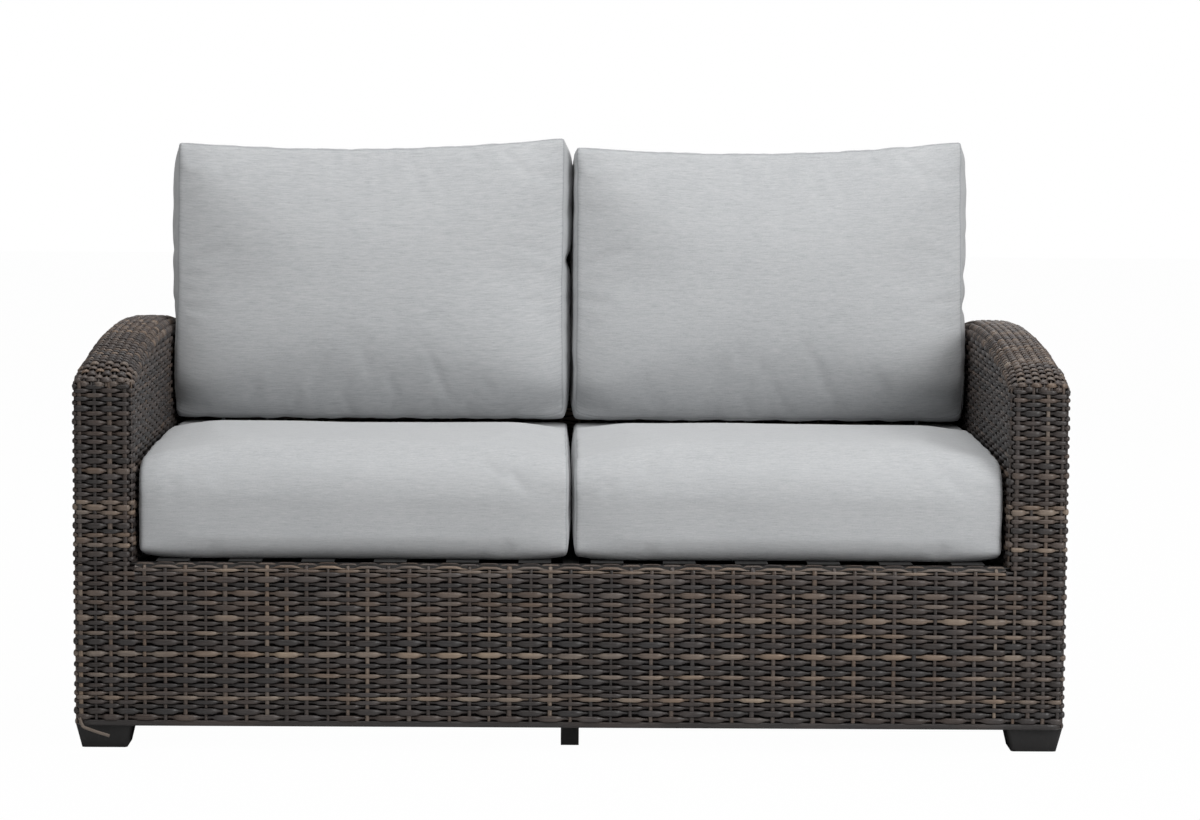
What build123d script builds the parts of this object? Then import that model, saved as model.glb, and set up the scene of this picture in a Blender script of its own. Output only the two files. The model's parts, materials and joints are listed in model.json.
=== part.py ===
"""Two-seat patio loveseat: woven skins over a tube frame, with loose cushions.

+X is the right-hand side as seen from the front, the seat faces -Y and +Z is up.
The origin lies on the ground under the middle of the whole piece.
"""
from build123d import *
import os
from math import cos, radians, sin, tan

os.makedirs("parts", exist_ok=True)

# Driving dimensions of the frame, in millimetres and degrees
WIDTH = 1524.0
DEPTH = 838.0
BACK_TOP = 815.0
RECLINE = 12.0
FOOT_HEIGHT = 38.0
SEAT_RAIL_TOP = 288.0
ARM_WIDTH = 95.0
SKIN = 8.0
TUBE = 25.0
TUBE_WALL = 1.5
BACK_TUBE = 50.0
RAIL_WRAP_DEPTH = 20.0
BACK_SKIN_DIP = 33.0

# The arched top of each arm, by height and by distance behind the front
ARM_FRONT_TOP = 572.0
ARM_KNEE_BEHIND = 90.0
ARM_KNEE_TOP = 608.0
ARM_PEAK_BEHIND = 430.0
ARM_PEAK_TOP = 632.0
ARM_REAR_TOP = 606.0

# Corner feet, centre legs, plates and bolts
FOOT_TOP_SIZE = 87.0
FOOT_BOTTOM_SIZE = 70.0
FOOT_CORNER = 6.0
FOOT_SIDE_INSET = 1.5
FOOT_END_INSET = 14.0
PLATE_THICK = 5.0
LEG_SIZE = 28.0
LEG_BEHIND_FRONT = 57.0
BOLT_SHANK = 8.0
BOLT_HEAD = 13.0
BOLT_HEAD_HEIGHT = 5.3
BOLT_RECESS = 9.0
BOLT_TIP = 6.0
BOLT_CLEARANCE = 0.3

# Seat straps and the ties inside the arms
STRAP_WIDTH = 50.0
STRAP_THICK = 2.5
STRAPS_PER_SEAT = 6
TIE_SIZE = 20.0
TIE_END_GAP = 110.0

# Seat cushions
SEAT_REAR_GAP = 12.0
SEAT_BEHIND_FRONT = 15.0
SEAT_SHOULDER = 452.0
SEAT_CROWN = 16.0
SEAT_END_CROWN = 5.0
SEAT_SIDE_BULGE = 3.0
SEAT_SIDE_DRAW = 6.0
SEAT_TOP_CORNER = 20.0
SEAT_BOTTOM_CORNER = 10.0
SEAT_NOSE_DROP = 32.0
SEAT_NOSE_RISE = 12.0
SEAT_NOSE_TUCK = 14.0
SEAT_NOSE_DEPTH = 34.0
SEAT_CORE_MARGIN = 28.0

# Back cushions
BACK_SIDE_GAP = 3.5
BACK_EAR_TOP = 927.0
BACK_TOP_SAG = 16.0
BACK_BOXING = 160.0
BACK_SEAM_BEHIND = 11.5
BACK_FRONT_CROWN = 32.0
BACK_REAR_CROWN = 11.0
BACK_TOP_CROWN = 5.0
BACK_SEAM_CROWN = 4.0
BACK_GUSSET = 11.0
BACK_GUSSET_TUCK = 22.0
BACK_SIDE_DRAW = 5.0
BACK_SHOULDER_REACH = 95.0
BACK_CORE_MARGIN = 38.0

# Gaps that keep loose pieces free
SIDE_CLEARANCE = 1.5
MIDDLE_GAP = 3.0
LIFT_CLEARANCE = 0.4
SEAT_TO_BACK = 13.0
ZIP_CLEARANCE = 0.3

# Zip sliders with their pull tabs
SLIDER_LENGTH = 10.0
SLIDER_WIDTH = 9.0
SLIDER_THICK = 5.0
TAB_WIDTH = 6.0
TAB_THICK = 1.6
TAB_LENGTH = 28.0
ZIP_END_GAP = 70.0
BACK_ZIP_INSET = 18.0

# Sizes worked out from those above
OVERRUN = 50.0
HALF_WIDTH = WIDTH / 2
FRONT = -DEPTH / 2
REAR_TOP = DEPTH / 2
INNER_HALF = HALF_WIDTH - ARM_WIDTH
BACK_THICK = BACK_TUBE + 2 * SKIN
RAKE = tan(radians(RECLINE))
RAKE_SIN = sin(radians(RECLINE))
RAKE_COS = cos(radians(RECLINE))
HALF_BEND = tan(radians(RECLINE / 2))
REAR_TOP_HEIGHT = BACK_TOP - BACK_THICK * RAKE_SIN
BASE_REAR = REAR_TOP - (REAR_TOP_HEIGHT - SEAT_RAIL_TOP) * RAKE
BACK_FACE = BASE_REAR - BACK_THICK
TUBE_FRONT = FRONT + SKIN
TUBE_BACK = BASE_REAR - SKIN
OUTER_TUBE = HALF_WIDTH - SKIN - TUBE / 2
INNER_TUBE = INNER_HALF + SKIN + TUBE / 2
LOWER_RAIL_Z = FOOT_HEIGHT + TUBE / 2
SEAT_RAIL_Z = SEAT_RAIL_TOP - TUBE / 2
SEAT_BOTTOM = SEAT_RAIL_TOP + STRAP_THICK + LIFT_CLEARANCE
SEAT_FRONT = FRONT + SEAT_BEHIND_FRONT
SEAT_REAR = BACK_FACE - SEAT_REAR_GAP
SEAT_DEPTH = SEAT_REAR - SEAT_FRONT
SEAT_WIDTH = INNER_HALF - SIDE_CLEARANCE - MIDDLE_GAP / 2
SEAT_CENTRE = (MIDDLE_GAP + SEAT_WIDTH) / 2
BACK_BOTTOM = SEAT_SHOULDER + SEAT_TO_BACK
BACK_WIDTH = INNER_HALF - 2 * BACK_SIDE_GAP
BACK_CENTRE = INNER_HALF / 2
SIDES = (("left", -1), ("right", 1))


def finish(piece, label):
    """Name a finished piece and write its file."""
    piece.label = label
    export_step(piece, f"parts/{label}.step")


# Lines of the side view, as (y, z)
def rear_point(inset, drop):
    """A point of the raked back, inset from its rear face and drop below its top."""
    y = REAR_TOP - inset * RAKE_COS - drop * RAKE_SIN
    z = REAR_TOP_HEIGHT + inset * RAKE_SIN - drop * RAKE_COS
    return (y, z)


def bend_point(inset):
    """Where the raked back turns upright, inset from its rear face."""
    return (BASE_REAR - inset, SEAT_RAIL_TOP + inset * HALF_BEND)


def face_y(z, forward=0.0):
    """The y of a line parallel to the front of the back, forward of it."""
    bend_y, bend_z = bend_point(BACK_THICK)
    return bend_y + (z - bend_z) * RAKE - forward / RAKE_COS


def rake_band(near, far, low, drop=0.0):
    """A strip of the back between two insets, from the height low to the top."""
    with BuildSketch() as band:
        with BuildLine():
            Polyline(
                (BASE_REAR - near, low),
                bend_point(near),
                rear_point(near, drop),
                rear_point(far, drop),
                bend_point(far),
                (BASE_REAR - far, low),
                close=True,
            )
        make_face()
    return band.sketch


def raked_strip(near, far, top, bottom):
    """A strip of the raked part of the back, measured down from its top."""
    with BuildSketch() as strip:
        with BuildLine():
            Polyline(
                rear_point(near, top),
                rear_point(far, top),
                rear_point(far, bottom),
                rear_point(near, bottom),
                close=True,
            )
        make_face()
    return strip.sketch


def under_arch(drop):
    """Everything below the arch of the arm, lowered by drop, and before the rear face."""
    rear_end = (face_y(ARM_REAR_TOP, -BACK_THICK), ARM_REAR_TOP - drop)
    front_end = (FRONT, ARM_FRONT_TOP - drop)
    knee = (FRONT + ARM_KNEE_BEHIND, ARM_KNEE_TOP - drop)
    peak = (FRONT + ARM_PEAK_BEHIND, ARM_PEAK_TOP - drop)
    with BuildSketch() as region:
        with BuildLine():
            crest = ThreePointArc(knee, peak, rear_end)
            TangentArc(knee, front_end, tangent=-(crest % 0))
            Polyline(
                front_end,
                (FRONT - OVERRUN, front_end[1]),
                (FRONT - OVERRUN, 0),
                (REAR_TOP + OVERRUN, 0),
                (REAR_TOP + OVERRUN, rear_end[1]),
                rear_end,
            )
        make_face()
    return region.sketch


def before_rear(inset, low):
    """Everything in front of the rear face of the arm, inset from it, above low."""
    with BuildSketch() as region:
        with BuildLine():
            Polyline(
                (FRONT, low),
                (BASE_REAR - inset, low),
                bend_point(inset),
                rear_point(inset, 0),
                (FRONT, BACK_TOP),
                close=True,
            )
        make_face()
    return region.sketch


def across(side, inner, outer):
    """The lower x and the width of a piece between two distances from the middle."""
    return min(side * inner, side * outer), outer - inner


# Straight tubes
def tube_along_x(label, x_from, x_to, y, z, wide=TUBE, tall=TUBE):
    with BuildPart() as tube:
        with BuildSketch(Plane.YZ.offset(x_from)):
            with Locations((y, z)):
                Rectangle(wide, tall)
                Rectangle(wide - 2 * TUBE_WALL, tall - 2 * TUBE_WALL, mode=Mode.SUBTRACT)
        extrude(amount=x_to - x_from)
    finish(tube.part, label)


def tube_along_y(label, y_from, y_to, x, z):
    with BuildPart() as tube:
        with BuildSketch(Plane.XZ.offset(-y_to)):
            with Locations((x, z)):
                Rectangle(TUBE, TUBE)
                Rectangle(TUBE - 2 * TUBE_WALL, TUBE - 2 * TUBE_WALL, mode=Mode.SUBTRACT)
        extrude(amount=y_to - y_from)
    finish(tube.part, label)


def make_base_rails():
    """The upright box under the seat, with a rail and a beam along its middle."""
    outer_reach = OUTER_TUBE - TUBE / 2
    inner_reach = INNER_TUBE - TUBE / 2
    front_y = TUBE_FRONT + TUBE / 2
    rear_y = TUBE_BACK - TUBE / 2
    rear_seat_y = BACK_FACE - TUBE / 2
    tube_along_x("front_lower_rail", -outer_reach, outer_reach, front_y, LOWER_RAIL_Z)
    tube_along_x("rear_lower_rail", -outer_reach, outer_reach, rear_y, LOWER_RAIL_Z)
    tube_along_x("front_seat_rail", -inner_reach, inner_reach, front_y, SEAT_RAIL_Z)
    tube_along_x("rear_seat_rail", -inner_reach, inner_reach, rear_seat_y, SEAT_RAIL_Z)
    behind_front = TUBE_FRONT + TUBE
    before_back = TUBE_BACK - TUBE
    for name, side in SIDES:
        tube_along_y(f"{name}_lower_rail", behind_front, before_back, side * OUTER_TUBE, LOWER_RAIL_Z)
        tube_along_y(f"{name}_seat_rail", behind_front, TUBE_BACK, side * INNER_TUBE, SEAT_RAIL_Z)
    tube_along_y("seat_centre_rail", behind_front, BACK_FACE - TUBE, 0, SEAT_RAIL_Z)
    tube_along_y("centre_lower_beam", behind_front, before_back, 0, LOWER_RAIL_Z)


# Posts, whose tops follow the arch or the top of the back
def upright_tube(label, side, x_middle, profile, bore, wide=TUBE):
    """A tube of one side, from its outline and the outline of its bore."""
    with BuildPart() as post:
        with BuildSketch(Plane.YZ.offset(side * x_middle - wide / 2)):
            add(profile)
        extrude(amount=wide)
        with BuildSketch(Plane.YZ.offset(side * x_middle - wide / 2 + TUBE_WALL)):
            add(bore)
        extrude(amount=wide - 2 * TUBE_WALL, mode=Mode.SUBTRACT)
    finish(post.part, label)


def front_post_outline(low, wall):
    """A front post up to the underside of the arm rail, less a wall at front and back."""
    with BuildSketch() as outline:
        add(under_arch(SKIN + TUBE))
        with Locations((TUBE_FRONT + TUBE / 2, low)):
            Rectangle(
                TUBE - 2 * wall, BACK_TOP, align=(Align.CENTER, Align.MIN), mode=Mode.INTERSECT
            )
    return outline.sketch


def arm_rail_outline(wall):
    """The arched rail under the top skin, less a wall above and below."""
    with BuildSketch() as outline:
        add(under_arch(SKIN + wall))
        add(under_arch(SKIN + TUBE - wall), mode=Mode.SUBTRACT)
        with Locations((TUBE_FRONT, 0)):
            Rectangle(
                DEPTH, BACK_TOP, align=(Align.MIN, Align.MIN), mode=Mode.INTERSECT
            )
        add(before_rear(SKIN, 0), mode=Mode.INTERSECT)
    return outline.sketch


def rear_post_outline(low, wall):
    """The outer rear post, bent where the back starts to lean."""
    with BuildSketch() as outline:
        add(rake_band(SKIN + wall, SKIN + TUBE - wall, low))
        add(under_arch(SKIN + TUBE), mode=Mode.INTERSECT)
    return outline.sketch


def back_post_outline(wall):
    """A back post from the lower rail to the underside of the top rail."""
    low = FOOT_HEIGHT + TUBE
    return rake_band(SKIN + wall, SKIN + BACK_TUBE - wall, low, SKIN + TUBE)


def make_posts():
    rail_top = FOOT_HEIGHT + TUBE
    for name, side in SIDES:
        upright_tube(
            f"{name}_front_post",
            side,
            OUTER_TUBE,
            front_post_outline(FOOT_HEIGHT, 0),
            front_post_outline(FOOT_HEIGHT, TUBE_WALL),
        )
        upright_tube(
            f"{name}_inner_post",
            side,
            INNER_TUBE,
            front_post_outline(rail_top, 0),
            front_post_outline(rail_top, TUBE_WALL),
        )
        upright_tube(
            f"{name}_rear_post",
            side,
            OUTER_TUBE,
            rear_post_outline(FOOT_HEIGHT, 0),
            rear_post_outline(FOOT_HEIGHT, TUBE_WALL),
        )
        upright_tube(
            f"{name}_back_post",
            side,
            INNER_HALF - SKIN - TUBE / 2,
            back_post_outline(0),
            back_post_outline(TUBE_WALL),
        )
        for place, x_middle in (("outer", OUTER_TUBE), ("inner", INNER_TUBE)):
            upright_tube(
                f"{name}_{place}_arm_rail",
                side,
                x_middle,
                arm_rail_outline(0),
                arm_rail_outline(TUBE_WALL),
            )


def make_back_top_rail():
    with BuildPart() as rail:
        half = INNER_HALF - SKIN
        with BuildSketch(Plane.YZ.offset(-half)):
            add(raked_strip(SKIN, SKIN + BACK_TUBE, SKIN, SKIN + TUBE))
            add(
                raked_strip(
                    SKIN + TUBE_WALL,
                    SKIN + BACK_TUBE - TUBE_WALL,
                    SKIN + TUBE_WALL,
                    SKIN + TUBE - TUBE_WALL,
                ),
                mode=Mode.SUBTRACT,
            )
        extrude(amount=2 * half)
    finish(rail.part, "back_top_rail")


def tie_places():
    """Where short ties join the inner and outer tubes of an arm, as (y, z)."""
    crest_front = FRONT + ARM_KNEE_BEHIND
    middle = FRONT + ARM_PEAK_BEHIND
    rear = face_y(ARM_REAR_TOP) - TIE_END_GAP / 2
    knee_z = ARM_KNEE_TOP - SKIN - TUBE + TIE_SIZE / 2
    peak_z = ARM_PEAK_TOP - SKIN - TUBE + TIE_SIZE / 2
    seat_rear = TUBE_BACK - TUBE / 2
    return (
        (crest_front, knee_z),
        (middle, peak_z),
        (rear, (knee_z + peak_z) / 2),
        (TUBE_FRONT + TUBE / 2, SEAT_RAIL_Z),
        (seat_rear, SEAT_RAIL_Z),
    )


def make_arm_ties():
    low = INNER_TUBE + TUBE / 2
    high = OUTER_TUBE - TUBE / 2
    with BuildPart() as ties:
        for name, side in SIDES:
            x_from, length = across(side, low, high)
            with BuildSketch(Plane.YZ.offset(x_from)):
                with Locations(*tie_places()):
                    Rectangle(TIE_SIZE, TIE_SIZE)
            extrude(amount=length)
    finish(ties.part, "arm_ties")


def make_seat_straps():
    front = FRONT + RAIL_WRAP_DEPTH
    pitch = INNER_HALF / STRAPS_PER_SEAT
    count = 2 * STRAPS_PER_SEAT
    length = BACK_FACE - front
    with BuildPart() as straps:
        with BuildSketch(Plane.XY.offset(SEAT_RAIL_TOP)):
            with Locations((0, front + length / 2)):
                with GridLocations(pitch, 1, count, 1):
                    Rectangle(STRAP_WIDTH, length)
        extrude(amount=STRAP_THICK)
    finish(straps.part, "seat_straps")


# Feet and legs
def foot_places():
    """Corner feet by name, with the x and y of the middle of each."""
    x = HALF_WIDTH - FOOT_SIDE_INSET - FOOT_TOP_SIZE / 2
    front_y = FRONT + FOOT_END_INSET + FOOT_TOP_SIZE / 2
    rear_y = BASE_REAR - FOOT_END_INSET - FOOT_TOP_SIZE / 2
    places = []
    for name, side in SIDES:
        places.append((f"front_{name}_foot", side * x, front_y))
        places.append((f"rear_{name}_foot", side * x, rear_y))
    return places


def plate_centre(x, y):
    """The middle of the plate over a foot, inside the corner of the lower rails."""
    side = 1 if x > 0 else -1
    end = 1 if y > 0 else -1
    plate = plate_size()
    corner_x = OUTER_TUBE - TUBE / 2 - plate / 2
    front_corner = TUBE_FRONT + TUBE + plate / 2
    rear_corner = TUBE_BACK - TUBE - plate / 2
    return side * corner_x, rear_corner if end > 0 else front_corner


def plate_size():
    return FOOT_TOP_SIZE + FOOT_END_INSET - SKIN - TUBE


def make_feet():
    for name, x, y in foot_places():
        bolt_x, bolt_y = plate_centre(x, y)
        with BuildPart() as foot:
            with BuildSketch(Plane.XY):
                with Locations((x, y)):
                    RectangleRounded(FOOT_BOTTOM_SIZE, FOOT_BOTTOM_SIZE, FOOT_CORNER)
            with BuildSketch(Plane.XY.offset(FOOT_HEIGHT)):
                with Locations((x, y)):
                    RectangleRounded(FOOT_TOP_SIZE, FOOT_TOP_SIZE, FOOT_CORNER)
            loft()
            with BuildSketch(Plane.XY):
                with Locations((bolt_x, bolt_y)):
                    Circle(BOLT_SHANK / 2 + BOLT_CLEARANCE)
            extrude(amount=FOOT_HEIGHT, mode=Mode.SUBTRACT)
            with BuildSketch(Plane.XY):
                with Locations((bolt_x, bolt_y)):
                    Circle(BOLT_HEAD / 2 + BOLT_CLEARANCE)
            extrude(amount=BOLT_RECESS, mode=Mode.SUBTRACT)
        finish(foot.part, name)


def make_foot_hardware():
    """Plates welded inside the corners, and the bolts that hold the feet to them."""
    centres = [plate_centre(x, y) for name, x, y in foot_places()]
    with BuildPart() as plates:
        with BuildSketch(Plane.XY.offset(FOOT_HEIGHT)):
            with Locations(*centres):
                Rectangle(plate_size(), plate_size())
                Circle(BOLT_SHANK / 2, mode=Mode.SUBTRACT)
        extrude(amount=PLATE_THICK)
    finish(plates.part, "foot_plates")
    head_low = BOLT_RECESS - BOLT_HEAD_HEIGHT
    with BuildPart() as bolts:
        with BuildSketch(Plane.XY.offset(head_low)):
            with Locations(*centres):
                RegularPolygon(BOLT_HEAD / 2, 6)
        extrude(amount=BOLT_HEAD_HEIGHT)
        with BuildSketch(Plane.XY.offset(BOLT_RECESS)):
            with Locations(*centres):
                Circle(BOLT_SHANK / 2)
        extrude(amount=FOOT_HEIGHT - BOLT_RECESS + PLATE_THICK + BOLT_TIP)
    finish(bolts.part, "foot_bolts")


def make_centre_legs():
    front_y = FRONT + LEG_BEHIND_FRONT + LEG_SIZE / 2
    rear_y = BASE_REAR - LEG_BEHIND_FRONT - LEG_SIZE / 2
    for name, y in (("front", front_y), ("rear", rear_y)):
        with BuildPart() as leg:
            with BuildSketch(Plane.XY):
                with Locations((0, y)):
                    RectangleRounded(LEG_SIZE, LEG_SIZE, TUBE_WALL)
            extrude(amount=FOOT_HEIGHT)
        finish(leg.part, f"{name}_centre_leg")


# Woven skins
def skin_plate(label, x_from, width, profile):
    with BuildPart() as skin:
        with BuildSketch(Plane.YZ.offset(x_from)):
            add(profile)
        extrude(amount=width)
    finish(skin.part, label)


def arm_side_outline():
    """The whole side of an arm, from the lower edge to the arch."""
    with BuildSketch() as outline:
        add(under_arch(0))
        add(before_rear(0, FOOT_HEIGHT), mode=Mode.INTERSECT)
    return outline.sketch


def arm_top_outline():
    with BuildSketch() as outline:
        add(arm_side_outline())
        add(under_arch(SKIN), mode=Mode.SUBTRACT)
    return outline.sketch


def arm_front_outline():
    with BuildSketch() as outline:
        add(under_arch(SKIN))
        with Locations((FRONT, FOOT_HEIGHT)):
            Rectangle(SKIN, BACK_TOP, align=(Align.MIN, Align.MIN), mode=Mode.INTERSECT)
    return outline.sketch


def arm_rear_outline():
    with BuildSketch() as outline:
        add(rake_band(0, SKIN, FOOT_HEIGHT))
        add(under_arch(SKIN), mode=Mode.INTERSECT)
    return outline.sketch


def arm_inner_outline():
    with BuildSketch() as outline:
        add(before_rear(SKIN, SEAT_RAIL_TOP))
        add(under_arch(SKIN), mode=Mode.INTERSECT)
        with Locations((TUBE_FRONT, 0)):
            Rectangle(DEPTH, BACK_TOP, align=(Align.MIN, Align.MIN), mode=Mode.INTERSECT)
    return outline.sketch


def front_outline():
    """The front skin, with the short turn that wraps over the seat rail."""
    top = SEAT_RAIL_TOP + STRAP_THICK
    with BuildSketch() as outline:
        with Locations((FRONT, FOOT_HEIGHT)):
            Rectangle(SKIN, top - FOOT_HEIGHT, align=(Align.MIN, Align.MIN))
        with Locations((FRONT, SEAT_RAIL_TOP)):
            Rectangle(RAIL_WRAP_DEPTH, STRAP_THICK, align=(Align.MIN, Align.MIN))
    return outline.sketch


def skirt_outline():
    """The upright rear skin below the point where the back starts to lean."""
    with BuildSketch() as outline:
        with BuildLine():
            Polyline(
                (BASE_REAR, FOOT_HEIGHT),
                bend_point(0),
                bend_point(SKIN),
                (BASE_REAR - SKIN, FOOT_HEIGHT),
                close=True,
            )
        make_face()
    return outline.sketch


def back_rear_outline():
    with BuildSketch() as outline:
        with BuildLine():
            Polyline(
                bend_point(0),
                rear_point(0, 0),
                rear_point(SKIN, 0),
                bend_point(SKIN),
                close=True,
            )
        make_face()
    return outline.sketch


def make_arm_skins():
    for name, side in SIDES:
        outer_from, outer_width = across(side, HALF_WIDTH - SKIN, HALF_WIDTH)
        inner_from, inner_width = across(side, INNER_HALF, INNER_HALF + SKIN)
        arm_from, arm_width = across(side, INNER_HALF, HALF_WIDTH - SKIN)
        skin_plate(f"{name}_outer_weave", outer_from, outer_width, arm_side_outline())
        skin_plate(f"{name}_inner_weave", inner_from, inner_width, arm_inner_outline())
        skin_plate(f"{name}_arm_top_weave", arm_from, arm_width, arm_top_outline())
        skin_plate(f"{name}_arm_front_weave", arm_from, arm_width, arm_front_outline())
        skin_plate(f"{name}_arm_rear_weave", arm_from, arm_width, arm_rear_outline())


def make_base_skins():
    skin_plate("front_weave", -INNER_HALF, 2 * INNER_HALF, front_outline())
    skin_plate("rear_skirt_weave", -INNER_HALF, 2 * INNER_HALF, skirt_outline())
    skin_plate("back_rear_weave", -INNER_HALF, 2 * INNER_HALF, back_rear_outline())


def make_back_front_skin():
    """The front of the back, turned over its two sides and its top edge."""
    low = SEAT_RAIL_TOP - BACK_SKIN_DIP
    with BuildPart() as skin:
        with BuildSketch(Plane.YZ.offset(-INNER_HALF)):
            add(rake_band(SKIN, BACK_THICK, low))
        extrude(amount=2 * INNER_HALF)
        with BuildSketch(Plane.YZ.offset(SKIN - INNER_HALF)):
            add(rake_band(0, BACK_THICK - SKIN, low - SKIN, SKIN))
        extrude(amount=2 * (INNER_HALF - SKIN), mode=Mode.SUBTRACT)
    finish(skin.part, "back_front_weave")


# Seat cushions, lofted from front to rear
def seat_stations():
    """Each station: y, side tuck, rise of the underside, drop of the shoulder and crown."""
    nose = SEAT_NOSE_DEPTH
    span = SEAT_DEPTH - nose
    half_crown = SEAT_END_CROWN + (SEAT_CROWN - SEAT_END_CROWN) * 3 / 4
    nose_stations = (
        (0, SEAT_NOSE_TUCK, SEAT_NOSE_RISE, SEAT_NOSE_DROP, SEAT_END_CROWN / 4),
        (nose / 4, SEAT_NOSE_TUCK / 3, SEAT_NOSE_RISE / 3, SEAT_NOSE_DROP / 3, SEAT_END_CROWN / 2),
        (nose, 0, 0, 0, SEAT_END_CROWN),
    )
    body_stations = (
        (nose, 0, 0, 0, SEAT_END_CROWN),
        (nose + span / 4, SEAT_SIDE_DRAW / 2, 0, 0, half_crown),
        (nose + span / 2, SEAT_SIDE_DRAW, 0, 0, SEAT_CROWN),
        (nose + span * 3 / 4, SEAT_SIDE_DRAW / 2, 0, 0, half_crown),
        (SEAT_DEPTH, 0, 0, 0, SEAT_END_CROWN),
    )
    return nose_stations, body_stations


def seat_section(x_middle, station):
    """One cross-section of a seat cushion, on its own upright plane."""
    y, tuck, rise, drop, crown = station
    half = SEAT_WIDTH / 2 - SEAT_SIDE_BULGE - tuck
    low = SEAT_BOTTOM + rise
    high = SEAT_SHOULDER - drop
    middle = (low + high) / 2
    plane = Plane(origin=(x_middle, SEAT_FRONT + y, 0), x_dir=(1, 0, 0), z_dir=(0, -1, 0))
    with BuildSketch(plane) as section:
        with BuildLine():
            Line((-half, low), (half, low))
            ThreePointArc((half, low), (half + SEAT_SIDE_BULGE, middle), (half, high))
            ThreePointArc((half, high), (0, high + crown), (-half, high))
            ThreePointArc((-half, high), (-half - SEAT_SIDE_BULGE, middle), (-half, low))
        make_face()
        fillet(section.vertices().group_by(Axis.Y)[0], SEAT_BOTTOM_CORNER)
        fillet(section.vertices().group_by(Axis.Y)[-1], SEAT_TOP_CORNER)
    return section.sketch


def seat_core_size():
    width = SEAT_WIDTH - 2 * SEAT_CORE_MARGIN
    depth = SEAT_DEPTH - 2 * SEAT_CORE_MARGIN
    height = SEAT_SHOULDER - SEAT_BOTTOM - SEAT_CORE_MARGIN
    return width, depth, height


def make_seat_cushions():
    core_width, core_depth, core_height = seat_core_size()
    core_y = SEAT_FRONT + SEAT_DEPTH / 2
    core_low = SEAT_BOTTOM + SEAT_CORE_MARGIN / 2
    for name, side in SIDES:
        x_middle = side * SEAT_CENTRE
        with BuildPart() as cover:
            for stations in seat_stations():
                sections = [seat_section(x_middle, station) for station in stations]
                loft(sections)
            with BuildSketch(Plane.XY.offset(core_low)):
                with Locations((x_middle, core_y)):
                    Rectangle(core_width, core_depth)
            extrude(amount=core_height, mode=Mode.SUBTRACT)
        finish(cover.part, f"{name}_seat_cushion_cover")
        with BuildPart() as core:
            with BuildSketch(Plane.XY.offset(core_low)):
                with Locations((x_middle, core_y)):
                    Rectangle(core_width, core_depth)
            extrude(amount=core_height)
        finish(core.part, f"{name}_seat_foam_core")


# Back cushions, lofted from side to side
def back_outline(x, tuck, sag, front_crown, rear_crown):
    """One cross-section of a back cushion, across its thickness, at x."""
    rear = BACK_SEAM_BEHIND + tuck
    front = BACK_SEAM_BEHIND + BACK_BOXING - tuck
    low = BACK_BOTTOM + tuck
    high = BACK_EAR_TOP - sag - tuck
    thick = front - rear
    rear_low = (face_y(low, rear), low)
    front_low = (face_y(low, front), low)
    front_high = (face_y(high, front), high)
    rear_high = (front_high[0] + thick * RAKE_COS, high - thick * RAKE_SIN)
    front_bow = bowed(front_low, front_high, front_crown)
    rear_bow = bowed(rear_low, rear_high, -rear_crown)
    top_bow = (
        (front_high[0] + rear_high[0]) / 2 + BACK_TOP_CROWN * RAKE_SIN,
        (front_high[1] + rear_high[1]) / 2 + BACK_TOP_CROWN * RAKE_COS,
    )
    with BuildSketch(Plane.YZ.offset(x)) as section:
        with BuildLine():
            Line(front_low, rear_low)
            ThreePointArc(rear_low, rear_bow, rear_high)
            ThreePointArc(rear_high, top_bow, front_high)
            ThreePointArc(front_high, front_bow, front_low)
        make_face()
    return section.sketch


def bowed(low, high, crown):
    """The middle of a raked edge, moved forward by crown."""
    y = (low[0] + high[0]) / 2 - crown * RAKE_COS
    z = (low[1] + high[1]) / 2 + crown * RAKE_SIN
    return (y, z)


def back_core_outline(margin):
    rear = BACK_SEAM_BEHIND + margin
    front = BACK_SEAM_BEHIND + BACK_BOXING - margin
    low = BACK_BOTTOM + margin
    high = BACK_EAR_TOP - BACK_TOP_SAG - BACK_BOXING * RAKE_SIN - margin
    with BuildSketch() as outline:
        with BuildLine():
            Polyline(
                (face_y(low, rear), low),
                (face_y(high, rear), high),
                (face_y(high, front), high),
                (face_y(low, front), low),
                close=True,
            )
        make_face()
    return outline.sketch


def side_cutter(x_edge, outward):
    """The sliver outside a side of a back cushion, bowed in between its corners."""
    far = x_edge + outward * OVERRUN
    with BuildSketch(Plane.XZ.offset(-REAR_TOP)) as sliver:
        with BuildLine():
            ThreePointArc(
                (x_edge, BACK_BOTTOM),
                (x_edge - outward * BACK_SIDE_DRAW, (BACK_BOTTOM + BACK_EAR_TOP) / 2),
                (x_edge, BACK_EAR_TOP),
            )
            Polyline(
                (x_edge, BACK_EAR_TOP), (far, BACK_EAR_TOP), (far, BACK_BOTTOM), (x_edge, BACK_BOTTOM)
            )
        make_face()
    return sliver.sketch


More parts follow.
